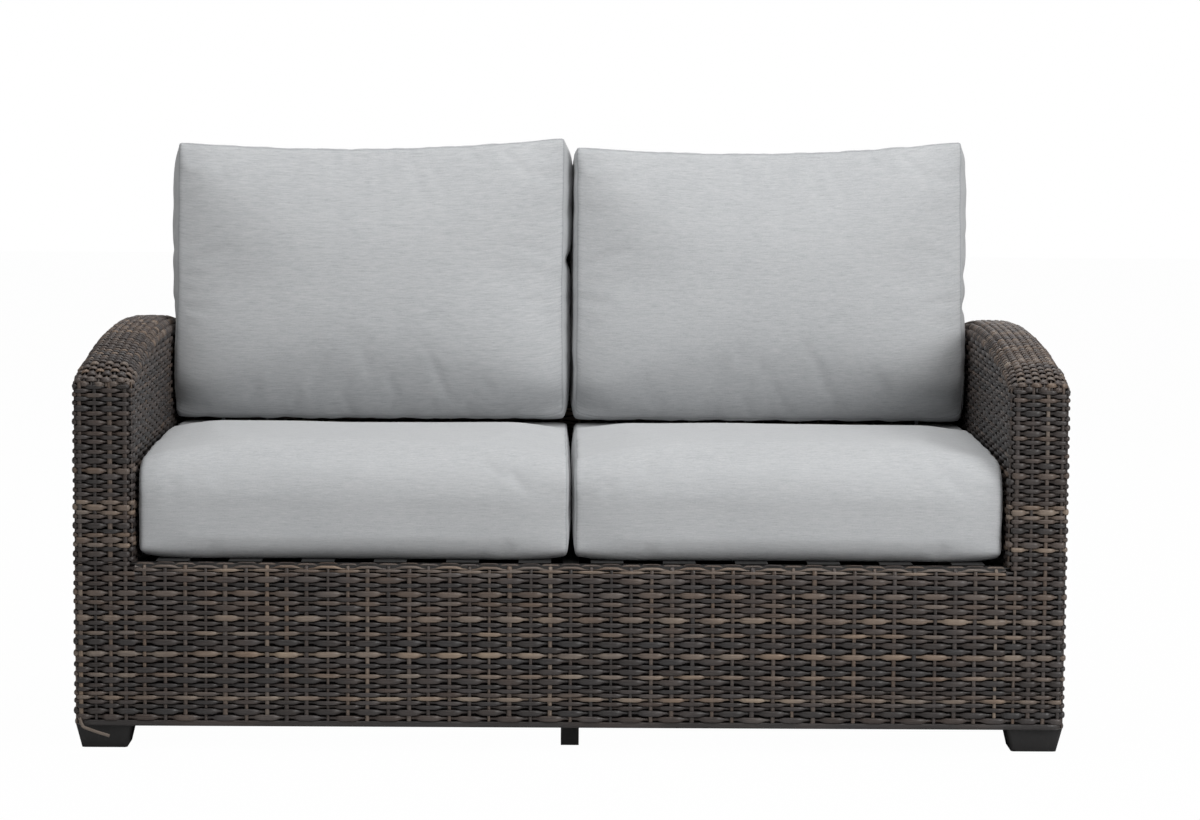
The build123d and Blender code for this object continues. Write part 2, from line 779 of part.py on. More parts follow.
def make_back_cushions():
    half = BACK_WIDTH / 2
    seam = half - BACK_GUSSET
    shoulder = half - BACK_SHOULDER_REACH
    for name, side in SIDES:
        middle = side * BACK_CENTRE
        seams = [
            back_outline(middle + end * seam, 0, 0, BACK_SEAM_CROWN, BACK_SEAM_CROWN / 2)
            for end in (-1, 1)
        ]
        shoulders = [
            back_outline(
                middle + end * shoulder,
                0,
                BACK_TOP_SAG * 3 / 4,
                BACK_FRONT_CROWN * 3 / 4,
                BACK_REAR_CROWN * 3 / 4,
            )
            for end in (-1, 1)
        ]
        ends = [
            back_outline(middle + end * half, BACK_GUSSET_TUCK, 0, BACK_SEAM_CROWN / 2, BACK_SEAM_CROWN / 2)
            for end in (-1, 1)
        ]
        centre = back_outline(middle, 0, BACK_TOP_SAG, BACK_FRONT_CROWN, BACK_REAR_CROWN)
        core_reach = half - BACK_CORE_MARGIN
        with BuildPart() as cover:
            loft([seams[0], shoulders[0], centre, shoulders[1], seams[1]])
            loft([ends[0], seams[0]], ruled=True)
            loft([seams[1], ends[1]], ruled=True)
            for end in (-1, 1):
                extrude(side_cutter(middle + end * half, end), amount=DEPTH, mode=Mode.SUBTRACT)
            with BuildSketch(Plane.YZ.offset(middle - core_reach)):
                add(back_core_outline(BACK_CORE_MARGIN))
            extrude(amount=2 * core_reach, mode=Mode.SUBTRACT)
        finish(cover.part, f"{name}_back_cushion_cover")
        with BuildPart() as core:
            with BuildSketch(Plane.YZ.offset(middle - core_reach)):
                add(back_core_outline(BACK_CORE_MARGIN))
            extrude(amount=2 * core_reach)
        finish(core.part, f"{name}_back_fibre_core")


# Zip sliders
def zip_pull(label, x, y, top, wide, tall):
    """A slider block with its top at a height, and a tab hanging from it."""
    with BuildPart() as pull:
        with BuildSketch(Plane.XY.offset(top - tall)):
            with Locations((x, y)):
                RectangleRounded(SLIDER_LENGTH, wide, TAB_THICK)
        extrude(amount=tall)
        with BuildSketch(Plane.XY.offset(top - tall - TAB_LENGTH)):
            with Locations((x, y)):
                Rectangle(TAB_WIDTH, TAB_THICK)
        extrude(amount=TAB_LENGTH)
    finish(pull.part, label)


def make_zip_pulls():
    reach = BACK_WIDTH / 2 - ZIP_END_GAP
    seat_y = SEAT_REAR + ZIP_CLEARANCE + SLIDER_THICK / 2
    back_y = face_y(BACK_BOTTOM, BACK_SEAM_BEHIND + BACK_ZIP_INSET)
    for name, side in SIDES:
        zip_pull(
            f"{name}_seat_zip_pull",
            side * (SEAT_CENTRE + reach),
            seat_y,
            (SEAT_SHOULDER + SEAT_BOTTOM) / 2,
            SLIDER_THICK,
            SLIDER_WIDTH,
        )
        zip_pull(
            f"{name}_back_zip_pull",
            side * (BACK_CENTRE + reach),
            back_y,
            BACK_BOTTOM - ZIP_CLEARANCE,
            SLIDER_WIDTH,
            SLIDER_THICK,
        )


make_base_rails()
make_posts()
make_back_top_rail()
make_arm_ties()
make_seat_straps()
make_feet()
make_foot_hardware()
make_centre_legs()
make_arm_skins()
make_base_skins()
make_back_front_skin()
make_seat_cushions()
make_back_cushions()
make_zip_pulls()
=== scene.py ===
"""Looks of a two-seat patio loveseat: woven strand skins and loose fabric cushions.

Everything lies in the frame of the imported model: +X is the right-hand side as seen
from the front, the seat faces -Y and +Z is up. Sizes of the object are in millimetres,
and MM turns them into metres where they go into a mesh. The floor, the lamps and the
camera are placed in metres.
"""

import json
import math

import bmesh
import bpy
import numpy as np
from mathutils import Matrix, Vector
from mathutils.bvhtree import BVHTree


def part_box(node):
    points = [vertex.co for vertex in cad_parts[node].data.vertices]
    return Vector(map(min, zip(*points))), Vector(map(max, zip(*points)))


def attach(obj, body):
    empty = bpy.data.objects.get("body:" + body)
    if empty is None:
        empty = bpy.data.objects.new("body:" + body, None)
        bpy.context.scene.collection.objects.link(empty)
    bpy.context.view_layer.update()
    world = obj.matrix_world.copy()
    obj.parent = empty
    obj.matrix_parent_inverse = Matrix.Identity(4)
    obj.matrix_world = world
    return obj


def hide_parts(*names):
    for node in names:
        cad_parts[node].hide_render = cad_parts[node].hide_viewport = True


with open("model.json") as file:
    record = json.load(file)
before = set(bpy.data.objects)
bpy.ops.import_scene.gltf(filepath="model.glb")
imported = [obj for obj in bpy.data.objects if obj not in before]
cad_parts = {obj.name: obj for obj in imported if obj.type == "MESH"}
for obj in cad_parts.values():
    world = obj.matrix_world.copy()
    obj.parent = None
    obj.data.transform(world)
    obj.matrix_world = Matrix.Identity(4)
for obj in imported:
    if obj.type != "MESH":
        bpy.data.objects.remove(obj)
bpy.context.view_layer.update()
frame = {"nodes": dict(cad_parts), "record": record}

MM = 0.001
SIDES = (("left", -1), ("right", 1))

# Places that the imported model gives
RECLINE = math.radians(12.0)
SEAT_RAIL_TOP = 288.0
HALF_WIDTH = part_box("right_outer_weave")[1].x / MM
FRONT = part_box("front_weave")[0].y / MM
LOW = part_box("front_weave")[0].z / MM
BASE_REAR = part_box("rear_skirt_weave")[1].y / MM
BACK_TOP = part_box("back_front_weave")[1].z / MM
INNER_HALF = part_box("front_weave")[1].x / MM
SKIN = 8.0
BACK_THICK = 66.0
ARM_WIDTH = HALF_WIDTH - INNER_HALF

# Strands: breadth and thickness of the common one, and how it goes over and under
STRAND_BREADTH = 7.7
STRAND_THICK = 3.5
WAVE_HEIGHT = 2.5
UNDER_SQUEEZE = 0.54
DIVE = (0.16, 0.9)
NECK = (0.36, 0.79)
ROW_PITCH = 7.25
THIN_SIZE = 0.87
WIDE_SIZE = 1.22
WIDE_SHARE = 0.33
SIZE_SPREAD = (0.96, 1.04)
DARK_BELOW = 0.5
MIDDLE_BELOW = 0.8
DARK_TONES = (0.0, 0.26)
MIDDLE_TONES = (0.3, 0.6)
PALE_TONES = (0.68, 0.98)
STAKE_PITCH = 31.4
STAKE_SIZE = 0.78
STAKE_SIZE_SPREAD = 0.22
STAKE_TONES = (0.12, 0.3, 0.42, 0.5, 0.62, 0.74)
STAKE_WANDER = 1.1
ROW_WANDER = 0.5
ROW_WANDER_RATE = 0.9
ROW_END_GAP = 0.2
SHORTEST_ROW = 0.6
GRAIN_START = 50.0
ARM_STAKE_FIRST = 12.0
ARM_STAKE_PITCH = 23.0
ARM_STAKES = 4
SIDE_STAKE_FIRST = 11.0
PANEL_STAKE_FIRST = 14.6
ARM_TURN = 27.0
CORNER_RADIUS = 9.0
BINDING_HEIGHT = 8.0
BINDING_STEP = 40.0
BINDING_LIFT = 1.0
BINDING_SIZE = 1.2
BINDING_TONE = 0.06
FOLD_DROP = 1.5
FOLD_REACH = 20.0
FOLD_END_GAP = 2.0
FOLD_FINENESS = 0.72
FOLD_TONE = 0.35
FOLD_TONE_SPREAD = 0.6
# Depth and thickness of the dark sheet of painted shade behind the strands
SHADE_SHEET_DEPTH = 3.0
SHADE_SHEET_THICK = 0.9
BACK_EDGE_DROP = 6.0
BACK_TURN_DROP = 14.0
BACK_TOP_TURN = 16.0
BACK_SIDE_STAKE_LAST = 12.0
BACK_START_DROP = 30.0
BEHIND_CUSHION = 20.0
SHEET_BEHIND_CUSHION = 30.0
INNER_SHEET_LEVEL = 500.0
ARM_SHEET_STEP = 0.01
BACK_SHEET_STEP = 0.1

# The arm tops
TOP_ROW_PITCH = 8.4
TOP_STAKE_PITCH = 11.5
TOP_STAKE_SIZE = 0.42
TOP_STAKE_TONES = (0.1, 0.6)
TOP_LIFT = 1.0
TOP_TONE = 0.5
TOP_TONE_SPREAD = 0.5
TUCK_UNDER = 4.0
OUTER_EASE = 9.0
KNEE_EASE = 7.5
KNEE_RISE = 110.0
KNEE_END = 200.0
KNEE_FADE = 480.0
OUTER_EASE_REACH = 42.0
OUTER_EASE_RUN = 90.0
RAIL_RADIUS = 18.0
RAIL_CORNER_POINTS = 8
RAIL_RINGS = 48
INNER_CREASE_RADIUS = 22.0
OUTER_CREASE_RADIUS = 22.0
INNER_CREASE_DROP = 27.0
OUTER_CREASE_DROP = 27.0
ARM_EDGE_DROP = 10.0
ARM_EDGE_RADIUS = 6.0


def metres(values):
    return np.asarray(values, float) * MM


def unit(vectors):
    return vectors / np.linalg.norm(vectors, axis=-1, keepdims=True)


def placed(name, data):
    """A new object in the scene with a mesh, a lamp or a camera."""
    made = bpy.data.objects.new(name, data)
    bpy.context.scene.collection.objects.link(made)
    return made


# Node trees
class Wire:
    """One output of a node. A sum or product with it adds a Math node."""

    def __init__(self, tree, socket):
        self.tree = tree
        self.socket = socket

    def math(self, operation, *others):
        return self.tree.node("ShaderNodeMath", {"operation": operation}, [self, *others])

    def reflected(self, operation, other):
        return self.tree.node("ShaderNodeMath", {"operation": operation}, [other, self])

    def __add__(self, other):
        return self.math("ADD", other)

    def __radd__(self, other):
        return self.reflected("ADD", other)

    def __sub__(self, other):
        return self.math("SUBTRACT", other)

    def __rsub__(self, other):
        return self.reflected("SUBTRACT", other)

    def __mul__(self, other):
        return self.math("MULTIPLY", other)

    def __rmul__(self, other):
        return self.reflected("MULTIPLY", other)

    def __truediv__(self, other):
        return self.math("DIVIDE", other)

    def __pow__(self, other):
        return self.math("POWER", other)

    def clipped(self):
        return self.math("MAXIMUM", 0.0).math("MINIMUM", 1.0)


class Tree:
    """A node tree that is being built, for a material or for geometry."""

    def __init__(self, tree):
        self.tree = tree

    def node(self, kind, settings=None, values=(), output=0):
        """Adds a node and returns one of its outputs, by number or by name."""
        made = self.tree.nodes.new(kind)
        for name, value in (settings or {}).items():
            if name == "stops":
                fill_ramp(made.color_ramp, value)
            else:
                setattr(made, name, value)
        sockets = [socket for socket in made.inputs if socket.enabled]
        pairs = values.items() if isinstance(values, dict) else enumerate(values)
        for key, value in pairs:
            if isinstance(key, int):
                socket = sockets[key]
            else:
                socket = next(found for found in sockets if found.name == key)
            if isinstance(value, Wire):
                self.tree.links.new(value.socket, socket)
            else:
                socket.default_value = value
        results = [socket for socket in made.outputs if socket.enabled]
        if isinstance(output, int):
            return Wire(self, results[output]) if results else made
        return Wire(self, next(found for found in results if found.name == output))


def fill_ramp(ramp, stops):
    """Gives a colour ramp its stops, each a place and a grey level or a colour."""
    while len(ramp.elements) < len(stops):
        ramp.elements.new(1.0)
    for element, (place, colour) in zip(ramp.elements, stops):
        element.position = place
        element.color = colour if isinstance(colour, tuple) else (colour, colour, colour, 1.0)


def linear(red, green, blue):
    """A colour that is given as it looks on a screen, 0 to 255, for a shader."""
    parts = []
    for level in (red, green, blue):
        share = level / 255.0
        parts.append(share / 12.92 if share <= 0.04045 else ((share + 0.055) / 1.055) ** 2.4)
    return (*parts, 1.0)


class Paint(Tree):
    """A material with one Principled shader."""

    def __init__(self, name, **constants):
        self.material = bpy.data.materials.new(name)
        self.material.use_nodes = True
        super().__init__(self.material.node_tree)
        self.tree.nodes.clear()
        self.shader = self.tree.nodes.new("ShaderNodeBsdfPrincipled")
        output = self.tree.nodes.new("ShaderNodeOutputMaterial")
        self.tree.links.new(self.shader.outputs[0], output.inputs["Surface"])
        for key, value in constants.items():
            self.shader.inputs[key.replace("_", " ")].default_value = value

    def feed(self, socket, wire):
        self.tree.links.new(wire.socket, self.shader.inputs[socket])

    def place(self, scale=(1.0, 1.0, 1.0)):
        """The object's own coordinates, stretched by a scale along each axis."""
        here = self.node("ShaderNodeTexCoord", output="Object")
        return self.node("ShaderNodeMapping", {}, {"Vector": here, "Scale": scale})

    def cloth_place(self, scale):
        """Places on the flat cloth that a cover was cut from, stretched by a scale."""
        here = self.node("ShaderNodeAttribute", {"attribute_name": "weft"}, output="Vector")
        return self.node("ShaderNodeMapping", {}, {"Vector": here, "Scale": scale})

    def speckle(self, vector, size, detail=2.0, roughness=0.5):
        """Noise from 0 to 1 on a vector."""
        values = {"Vector": vector, "Scale": size, "Detail": detail, "Roughness": roughness}
        return self.node("ShaderNodeTexNoise", {}, values)

    def blend(self, share, low, high, mode="MIX"):
        settings = {"data_type": "RGBA", "blend_type": mode}
        return self.node("ShaderNodeMix", settings, {"Factor": share, "A": low, "B": high})

    def ramp(self, share, stops):
        return self.node("ShaderNodeValToRGB", {"stops": stops}, [share])

    def bump(self, height, distance, strength=1.0):
        values = {"Height": height, "Distance": distance, "Strength": strength}
        self.feed("Normal", self.node("ShaderNodeBump", {}, values))

    def own(self, name):
        """One of the mesh's own numbers."""
        return self.node("ShaderNodeAttribute", {"attribute_name": name}, output="Fac")


# Finishes
def strand_finish():
    """Extruded strand: each length has its own tone, with fine streaks along it."""
    paint = Paint("woven strand", Metallic=0.0, Specular_IOR_Level=0.42)
    tone = paint.own("tone")
    along = paint.own("along")
    across = paint.own("across")
    lane = tone * 37.0
    drift = paint.node("ShaderNodeCombineXYZ", {}, [along * 9.0, lane, 0.0])
    streak = paint.node("ShaderNodeCombineXYZ", {}, [along * 24.0, lane, across * 2.6])
    slow = paint.speckle(drift, 1.0, 2.0)
    fine = paint.speckle(streak, 1.0, 3.0, 0.6)
    mixed = (tone * 0.86 + (slow - 0.5) * 1.0 + (fine - 0.5) * 0.42).clipped()
    brown = paint.ramp(
        mixed,
        (
            (0.0, linear(47, 42, 40)),
            (0.3, linear(70, 59, 53)),
            (0.55, linear(98, 82, 70)),
            (0.8, linear(126, 108, 92)),
            (1.0, linear(148, 130, 110)),
        ),
    )
    grey = paint.ramp(
        mixed,
        (
            (0.0, linear(48, 46, 46)),
            (0.3, linear(66, 61, 60)),
            (0.55, linear(91, 83, 78)),
            (0.8, linear(120, 109, 99)),
            (1.0, linear(144, 132, 117)),
        ),
    )
    wander = paint.node("ShaderNodeCombineXYZ", {}, [along * 7.0, lane + 90.0, 0.0])
    hue = ((paint.speckle(wander, 1.0, 1.0) - 0.5) * 2.6 + 0.5).clipped()
    paint.feed("Base Color", paint.blend(hue, grey, brown))
    paint.feed("Roughness", 0.3 + fine * 0.24)
    paint.bump(fine, 0.3 * MM, 0.6)
    return paint.material


def shade_sheet_finish():
    """Painted shade: a near-black sheet that stands in for the unlit inside that shows between the strands.
    """
    paint = Paint("dark inside", Roughness=1.0, Specular_IOR_Level=0.0)
    cloud = paint.speckle(paint.place(), 120.0)
    colour = paint.blend(cloud, linear(9, 8, 8), linear(20, 18, 18))
    paint.feed("Base Color", colour)
    return paint.material


def cushion_finish():
    """Heather cloth: pale grey with fine uneven threads that run from side to side, and painted shade along
    its seams.
    """
    paint = Paint("heather cloth", Sheen_Weight=0.18, Sheen_Roughness=0.6)
    paint.shader.inputs["Specular IOR Level"].default_value = 0.2
    slub = paint.speckle(paint.cloth_place((62.0, 950.0, 950.0)), 1.0, 3.0, 0.6)
    long_slub = paint.speckle(paint.cloth_place((26.0, 420.0, 420.0)), 1.0, 2.0, 0.5)
    fleck = paint.speckle(paint.cloth_place((380.0, 1000.0, 1000.0)), 1.0, 2.0, 0.6)
    cloud = paint.speckle(paint.cloth_place((7.0, 7.0, 7.0)), 1.0, 2.0)
    # Painted shade: the cloth is made darker along the seams, where shade falls in the sewn grooves
    seam = paint.own("seam") ** 6.0
    mixed = (slub - 0.5) * 0.85 + (long_slub - 0.5) * 0.3 + (fleck - 0.5) * 0.62
    share = (mixed + (cloud - 0.5) * 0.14 + 0.5 - seam * 0.4).clipped()
    colour = paint.ramp(
        share,
        (
            (0.0, linear(132, 134, 137)),
            (0.45, linear(172, 174, 176)),
            (0.7, linear(186, 187, 188)),
            (1.0, linear(206, 206, 205)),
        ),
    )
    paint.feed("Base Color", colour)
    paint.feed("Roughness", 0.82 + fleck * 0.16)
    thread = paint.speckle(paint.cloth_place((900.0, 1500.0, 1500.0)), 1.0, 1.0)
    paint.bump(slub * 0.6 + thread * 0.4, 0.4 * MM, 0.4)
    return paint.material


def seam_finish():
    """The folded cloth of a seam, a little darker than the panels that it joins."""
    paint = Paint("seam cloth", Roughness=0.9, Specular_IOR_Level=0.15)
    stitch = paint.speckle(paint.place((300.0, 300.0, 300.0)), 1.0, 2.0)
    paint.feed("Base Color", paint.blend(stitch, linear(150, 152, 155), linear(186, 187, 190)))
    paint.bump(stitch, 0.4 * MM, 0.6)
    return paint.material


def coated_metal_finish():
    """Dark powder coat: fine orange peel and a cloudy tone."""
    paint = Paint("powder coated tube", Specular_IOR_Level=0.5)
    peel = paint.speckle(paint.place(), 900.0, 2.0)
    cloud = paint.speckle(paint.place(), 14.0, 3.0)
    paint.feed("Base Color", paint.blend(cloud, linear(36, 35, 35), linear(50, 48, 47)))
    paint.feed("Roughness", 0.42 + cloud * 0.18)
    paint.bump(peel, 0.15 * MM, 0.5)
    return paint.material


def moulded_finish():
    """Charcoal moulded plastic with a spark-eroded grain and scuffs near the floor."""
    paint = Paint("moulded foot plastic", Specular_IOR_Level=0.4)
    grain = paint.speckle(paint.place(), 1400.0, 2.0)
    scuff = paint.speckle(paint.place((1.0, 1.0, 0.35)), 90.0, 4.0, 0.65)
    share = ((scuff - 0.58) * 5.0).clipped()
    paint.feed("Base Color", paint.blend(share, linear(33, 32, 32), linear(50, 48, 47)))
    paint.feed("Roughness", 0.5 + scuff * 0.3)
    paint.bump(grain, 0.12 * MM, 0.6)
    return paint.material


def webbing_finish():
    """Elastic webbing: ribs across the strap with a woven check."""
    paint = Paint("elastic webbing", Specular_IOR_Level=0.15, Sheen_Weight=0.1)
    here = paint.node("ShaderNodeTexCoord", output="Object")
    split = {"Vector": here}
    x = paint.node("ShaderNodeSeparateXYZ", {}, split, "X")
    y = paint.node("ShaderNodeSeparateXYZ", {}, split, "Y")
    rib = (y * 2600.0).math("SINE") * 0.5 + 0.5
    thread = (x * 3100.0).math("SINE") * 0.5 + 0.5
    cloud = paint.speckle(paint.place(), 40.0, 2.0)
    share = (rib * 0.5 + thread * 0.3 + cloud * 0.3).clipped()
    # Near black: partly the strap's own dark colour, partly painted shade for the shadow under the seat
    # cushions
    paint.feed("Base Color", paint.blend(share, linear(12, 12, 12), linear(27, 26, 26)))
    paint.feed("Roughness", 0.8 + rib * 0.15)
    paint.bump(rib * 0.6 + thread * 0.4, 0.4 * MM, 0.7)
    return paint.material


def steel_finish(name, low, high, roughness):
    """Brushed metal with fine scratches."""
    paint = Paint(name, Metallic=1.0)
    brushed = paint.speckle(paint.place((40.0, 40.0, 1600.0)), 1.0, 3.0, 0.6)
    paint.feed("Base Color", paint.blend(brushed, linear(*low), linear(*high)))
    paint.feed("Roughness", roughness + brushed * 0.2)
    paint.bump(brushed, 0.05 * MM, 0.4)
    return paint.material


STRAND = strand_finish()
SHADE_SHEET = shade_sheet_finish()
CLOTH = cushion_finish()
SEAM = seam_finish()
COATED = coated_metal_finish()
MOULDED = moulded_finish()
WEBBING = webbing_finish()
STEEL = steel_finish("zinc plated steel", (150, 150, 150), (196, 196, 194), 0.28)
ZIP_STEEL = steel_finish("zip metal", (120, 120, 122), (178, 178, 180), 0.3)


# Paths
class Bend:
    """A flat line through corners, rounded at the inner ones and read by distance.

    Its outward side is on the left as it is followed.
    """

    ARC_STEPS = 8

    def __init__(self, corners, radii):
        corners = np.asarray(corners, float)
        if np.isscalar(radii):
            radii = [radii] * (len(corners) - 2)
        forward = unit(np.diff(corners, axis=0))
        left = np.stack([-forward[:, 1], forward[:, 0]], axis=1)
        points = [corners[0]]
        normals = [left[0]]
        for number, radius in enumerate(radii):
            corner = corners[number + 1]
            before, after = forward[number], forward[number + 1]
            turn = math.acos(float(np.clip(before @ after, -1.0, 1.0)))
            if radius <= 0 or turn < 1e-4:
                points.append(corner)
                normals.append(unit(left[number] + left[number + 1]))
                continue
            reach = radius * math.tan(turn / 2)
            sign = 1.0 if before[0] * after[1] - before[1] * after[0] > 0 else -1.0
            start = corner - before * reach
            centre = start + left[number] * radius * sign
            for step in range(self.ARC_STEPS + 1):
                angle = sign * turn * step / self.ARC_STEPS
                cosine, sine = math.cos(angle), math.sin(angle)
                turned = np.array([
                    left[number][0] * cosine - left[number][1] * sine,
                    left[number][0] * sine + left[number][1] * cosine,
                ])
                points.append(centre - turned * radius * sign)
                normals.append(turned)
        points.append(corners[-1])
        normals.append(left[-1])
        self.points = np.array(points)
        self.normals = np.array(normals)
        steps = np.linalg.norm(np.diff(self.points, axis=0), axis=1)
        self.distances = np.concatenate([[0.0], np.cumsum(steps)])
        self.length = self.distances[-1]

    def at(self, distance):
        """Points and outward directions at distances along it."""
        axes = range(2)
        points = np.stack([np.interp(distance, self.distances, self.points[:, a]) for a in axes], -1)
        ways = np.stack([np.interp(distance, self.distances, self.normals[:, a]) for a in axes], -1)
        return points, unit(ways)

    def nearest(self, point):
        """The distance along it of the place nearest to a point."""
        tried = np.linspace(0.0, self.length, 2000)
        places = self.at(tried)[0]
        return tried[np.argmin(np.linalg.norm(places - np.asarray(point), axis=1))]


def rear_y(z):
    """The rear face of the arms, skirt and back at a height."""
    return BASE_REAR + np.maximum(np.asarray(z, float) - SEAT_RAIL_TOP, 0.0) * math.tan(RECLINE)


def back_face_y(z):
    """The front face of the raked back at a height."""
    return rear_y(z) - BACK_THICK / math.cos(RECLINE)


def arch_heights():
    """The arm's top at even steps from front to rear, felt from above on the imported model."""
    node = frame["nodes"]["left_arm_top_weave"]
    surface = BVHTree.FromPolygons(
        [vertex.co for vertex in node.data.vertices],
        [tuple(face.vertices) for face in node.data.polygons],
    )
    low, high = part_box("left_arm_top_weave")
    ys = np.linspace(low.y + 0.1 * MM, high.y - 0.1 * MM, 240)
    zs = []
    for y in ys:
        hit = surface.ray_cast(Vector(((low.x + high.x) / 2, y, 1.0)), Vector((0.0, 0.0, -1.0)))
        zs.append(hit[0].z if hit[0] else high.z)
    return ys / MM, np.array(zs) / MM


ARCH_Y, ARCH_Z = arch_heights()
ARCH_REAR = float(ARCH_Y[-1])
ARCH_TOP = float(ARCH_Z.max())
ARM_REAR_TOP = float(ARCH_Z[-1])


def arch(y):
    """The top of an arm at a distance from front to rear, eased behind its front edge."""
    y = np.asarray(y, float)
    start = np.clip((y - FRONT) / KNEE_RISE, 0.0, 1.0)
    fade = np.clip((KNEE_END - y) / KNEE_FADE, 0.0, 1.0)
    return np.interp(y, ARCH_Y, ARCH_Z) - KNEE_EASE * start * start * (3.0 - 2.0 * start) * fade


# Strand work
def open_tree(name, sockets, result):
    """A new geometry tree with its inputs and one output, and a wire for each input."""
    group = bpy.data.node_groups.new(name, "GeometryNodeTree")
    for label, kind in sockets:
        group.interface.new_socket(label, in_out="INPUT", socket_type=kind)
    group.interface.new_socket(result, in_out="OUTPUT", socket_type="NodeSocketGeometry")
    tree = Tree(group)
    entry = group.nodes.new("NodeGroupInput")
    return tree, {socket.name: Wire(tree, socket) for socket in entry.outputs}


def closed_tree(tree, made):
    """The finished group of a geometry tree, which gives out what was made."""
    leave = tree.tree.nodes.new("NodeGroupOutput")
    tree.tree.links.new(made.socket, leave.inputs[0])
    return tree.tree


def strand_tree():
    """Sweeps strands along guide lines, in and out between the stakes."""
    sockets = (
        ("Guides", "NodeSocketGeometry"),
        ("Strand Breadth", "NodeSocketFloat"),
        ("Strand Thickness", "NodeSocketFloat"),
        ("Wave Height", "NodeSocketFloat"),
        ("Under Squeeze", "NodeSocketFloat"),
        ("Sides", "NodeSocketInt"),
        ("Strand Finish", "NodeSocketMaterial"),
        ("Shade Sheet Finish", "NodeSocketMaterial"),
    )
    tree, given = open_tree("strand weave", sockets, "Weave")

    def named(name, kind="FLOAT"):
        return tree.node("GeometryNodeInputNamedAttribute", {"data_type": kind}, {"Name": name})

    strand = named("strand", "BOOLEAN")
    out = named("out", "FLOAT_VECTOR")
    turn = (named("phase") * math.pi).math("COSINE")
    way = (1.0 - turn) * 0.5
    ease = {"interpolation_type": "SMOOTHSTEP"}
    dive = tree.node("ShaderNodeMapRange", ease, {"Value": way, "From Min": DIVE[0], "From Max": DIVE[1]})
    neck = tree.node("ShaderNodeMapRange", ease, {"Value": way, "From Min": NECK[0], "From Max": NECK[1]})
    rise = (1.0 - dive * 2.0) * named("lift") * given["Wave Height"]
    swell = named("size") * (1.0 - given["Under Squeeze"] * neck)
    offset = tree.node("ShaderNodeVectorMath", {"operation": "SCALE"}, {"Vector": out, "Scale": rise})
    lines = tree.node("GeometryNodeMeshToCurve", {}, {"Mesh": given["Guides"], "Selection": strand})
    lines = tree.node("GeometryNodeSetPosition", {}, {"Geometry": lines, "Offset": offset})
    lines = tree.node("GeometryNodeSetCurveNormal", {"mode": "FREE"}, {"Curve": lines, "Normal": out})
    circle = {"Resolution": given["Sides"], "Radius": 1.0}
    ring = tree.node("GeometryNodeCurvePrimitiveCircle", {}, circle)
    height = tree.node("ShaderNodeSeparateXYZ", {}, [tree.node("GeometryNodeInputPosition")], "Y")
    ring = tree.node(
        "GeometryNodeStoreNamedAttribute",
        {"data_type": "FLOAT", "domain": "POINT"},
        {"Geometry": ring, "Name": "across", "Value": height},
    )
    halves = [given["Strand Thickness"] * 0.5, given["Strand Breadth"] * 0.5, 1.0]
    section = tree.node("ShaderNodeCombineXYZ", {}, halves)
    ring = tree.node("GeometryNodeTransform", {}, {"Geometry": ring, "Scale": section})
    tubes = tree.node(
        "GeometryNodeCurveToMesh",
        {},
        {"Curve": lines, "Profile Curve": ring, "Scale": swell, "Fill Caps": True},
    )
    tubes = tree.node("GeometryNodeSetShadeSmooth", {}, {"Geometry": tubes, "Shade Smooth": True})
    # What is left of the guides is the dark sheet of painted shade behind the strands
    sheet = tree.node("GeometryNodeDeleteGeometry", {}, {"Geometry": given["Guides"], "Selection": strand})
    join = tree.tree.nodes.new("GeometryNodeJoinGeometry")
    for part in (sheet, tubes):
        tree.tree.links.new(part.socket, join.inputs[0])
    made = tree.node("GeometryNodeRealizeInstances", {}, [Wire(tree, join.outputs[0])])
    not_strand = tree.node("FunctionNodeBooleanMath", {"operation": "NOT"}, [strand])
    for chosen, finish in ((strand, "Strand Finish"), (not_strand, "Shade Sheet Finish")):
        values = {"Geometry": made, "Selection": chosen, "Material": given[finish]}
        made = tree.node("GeometryNodeSetMaterial", {}, values)
    return closed_tree(tree, made)


STRAND_TREE = strand_tree()


def plain_mesh(obj, tree, values):
    """Runs a geometry tree on an object and leaves its result as the plain mesh."""
    modifier = obj.modifiers.new("shape", "NODES")
    modifier.node_group = tree
    inputs = {item.name: item.identifier for item in tree.interface.items_tree if item.in_out == "INPUT"}
    for name, value in values.items():
        modifier[inputs[name]] = value
    graph = bpy.context.evaluated_depsgraph_get()
    mesh = bpy.data.meshes.new_from_object(obj.evaluated_get(graph), depsgraph=graph)
    obj.modifiers.clear()
    guides = obj.data
    obj.data = mesh
    mesh.name = obj.name
    bpy.data.meshes.remove(guides)
    return obj


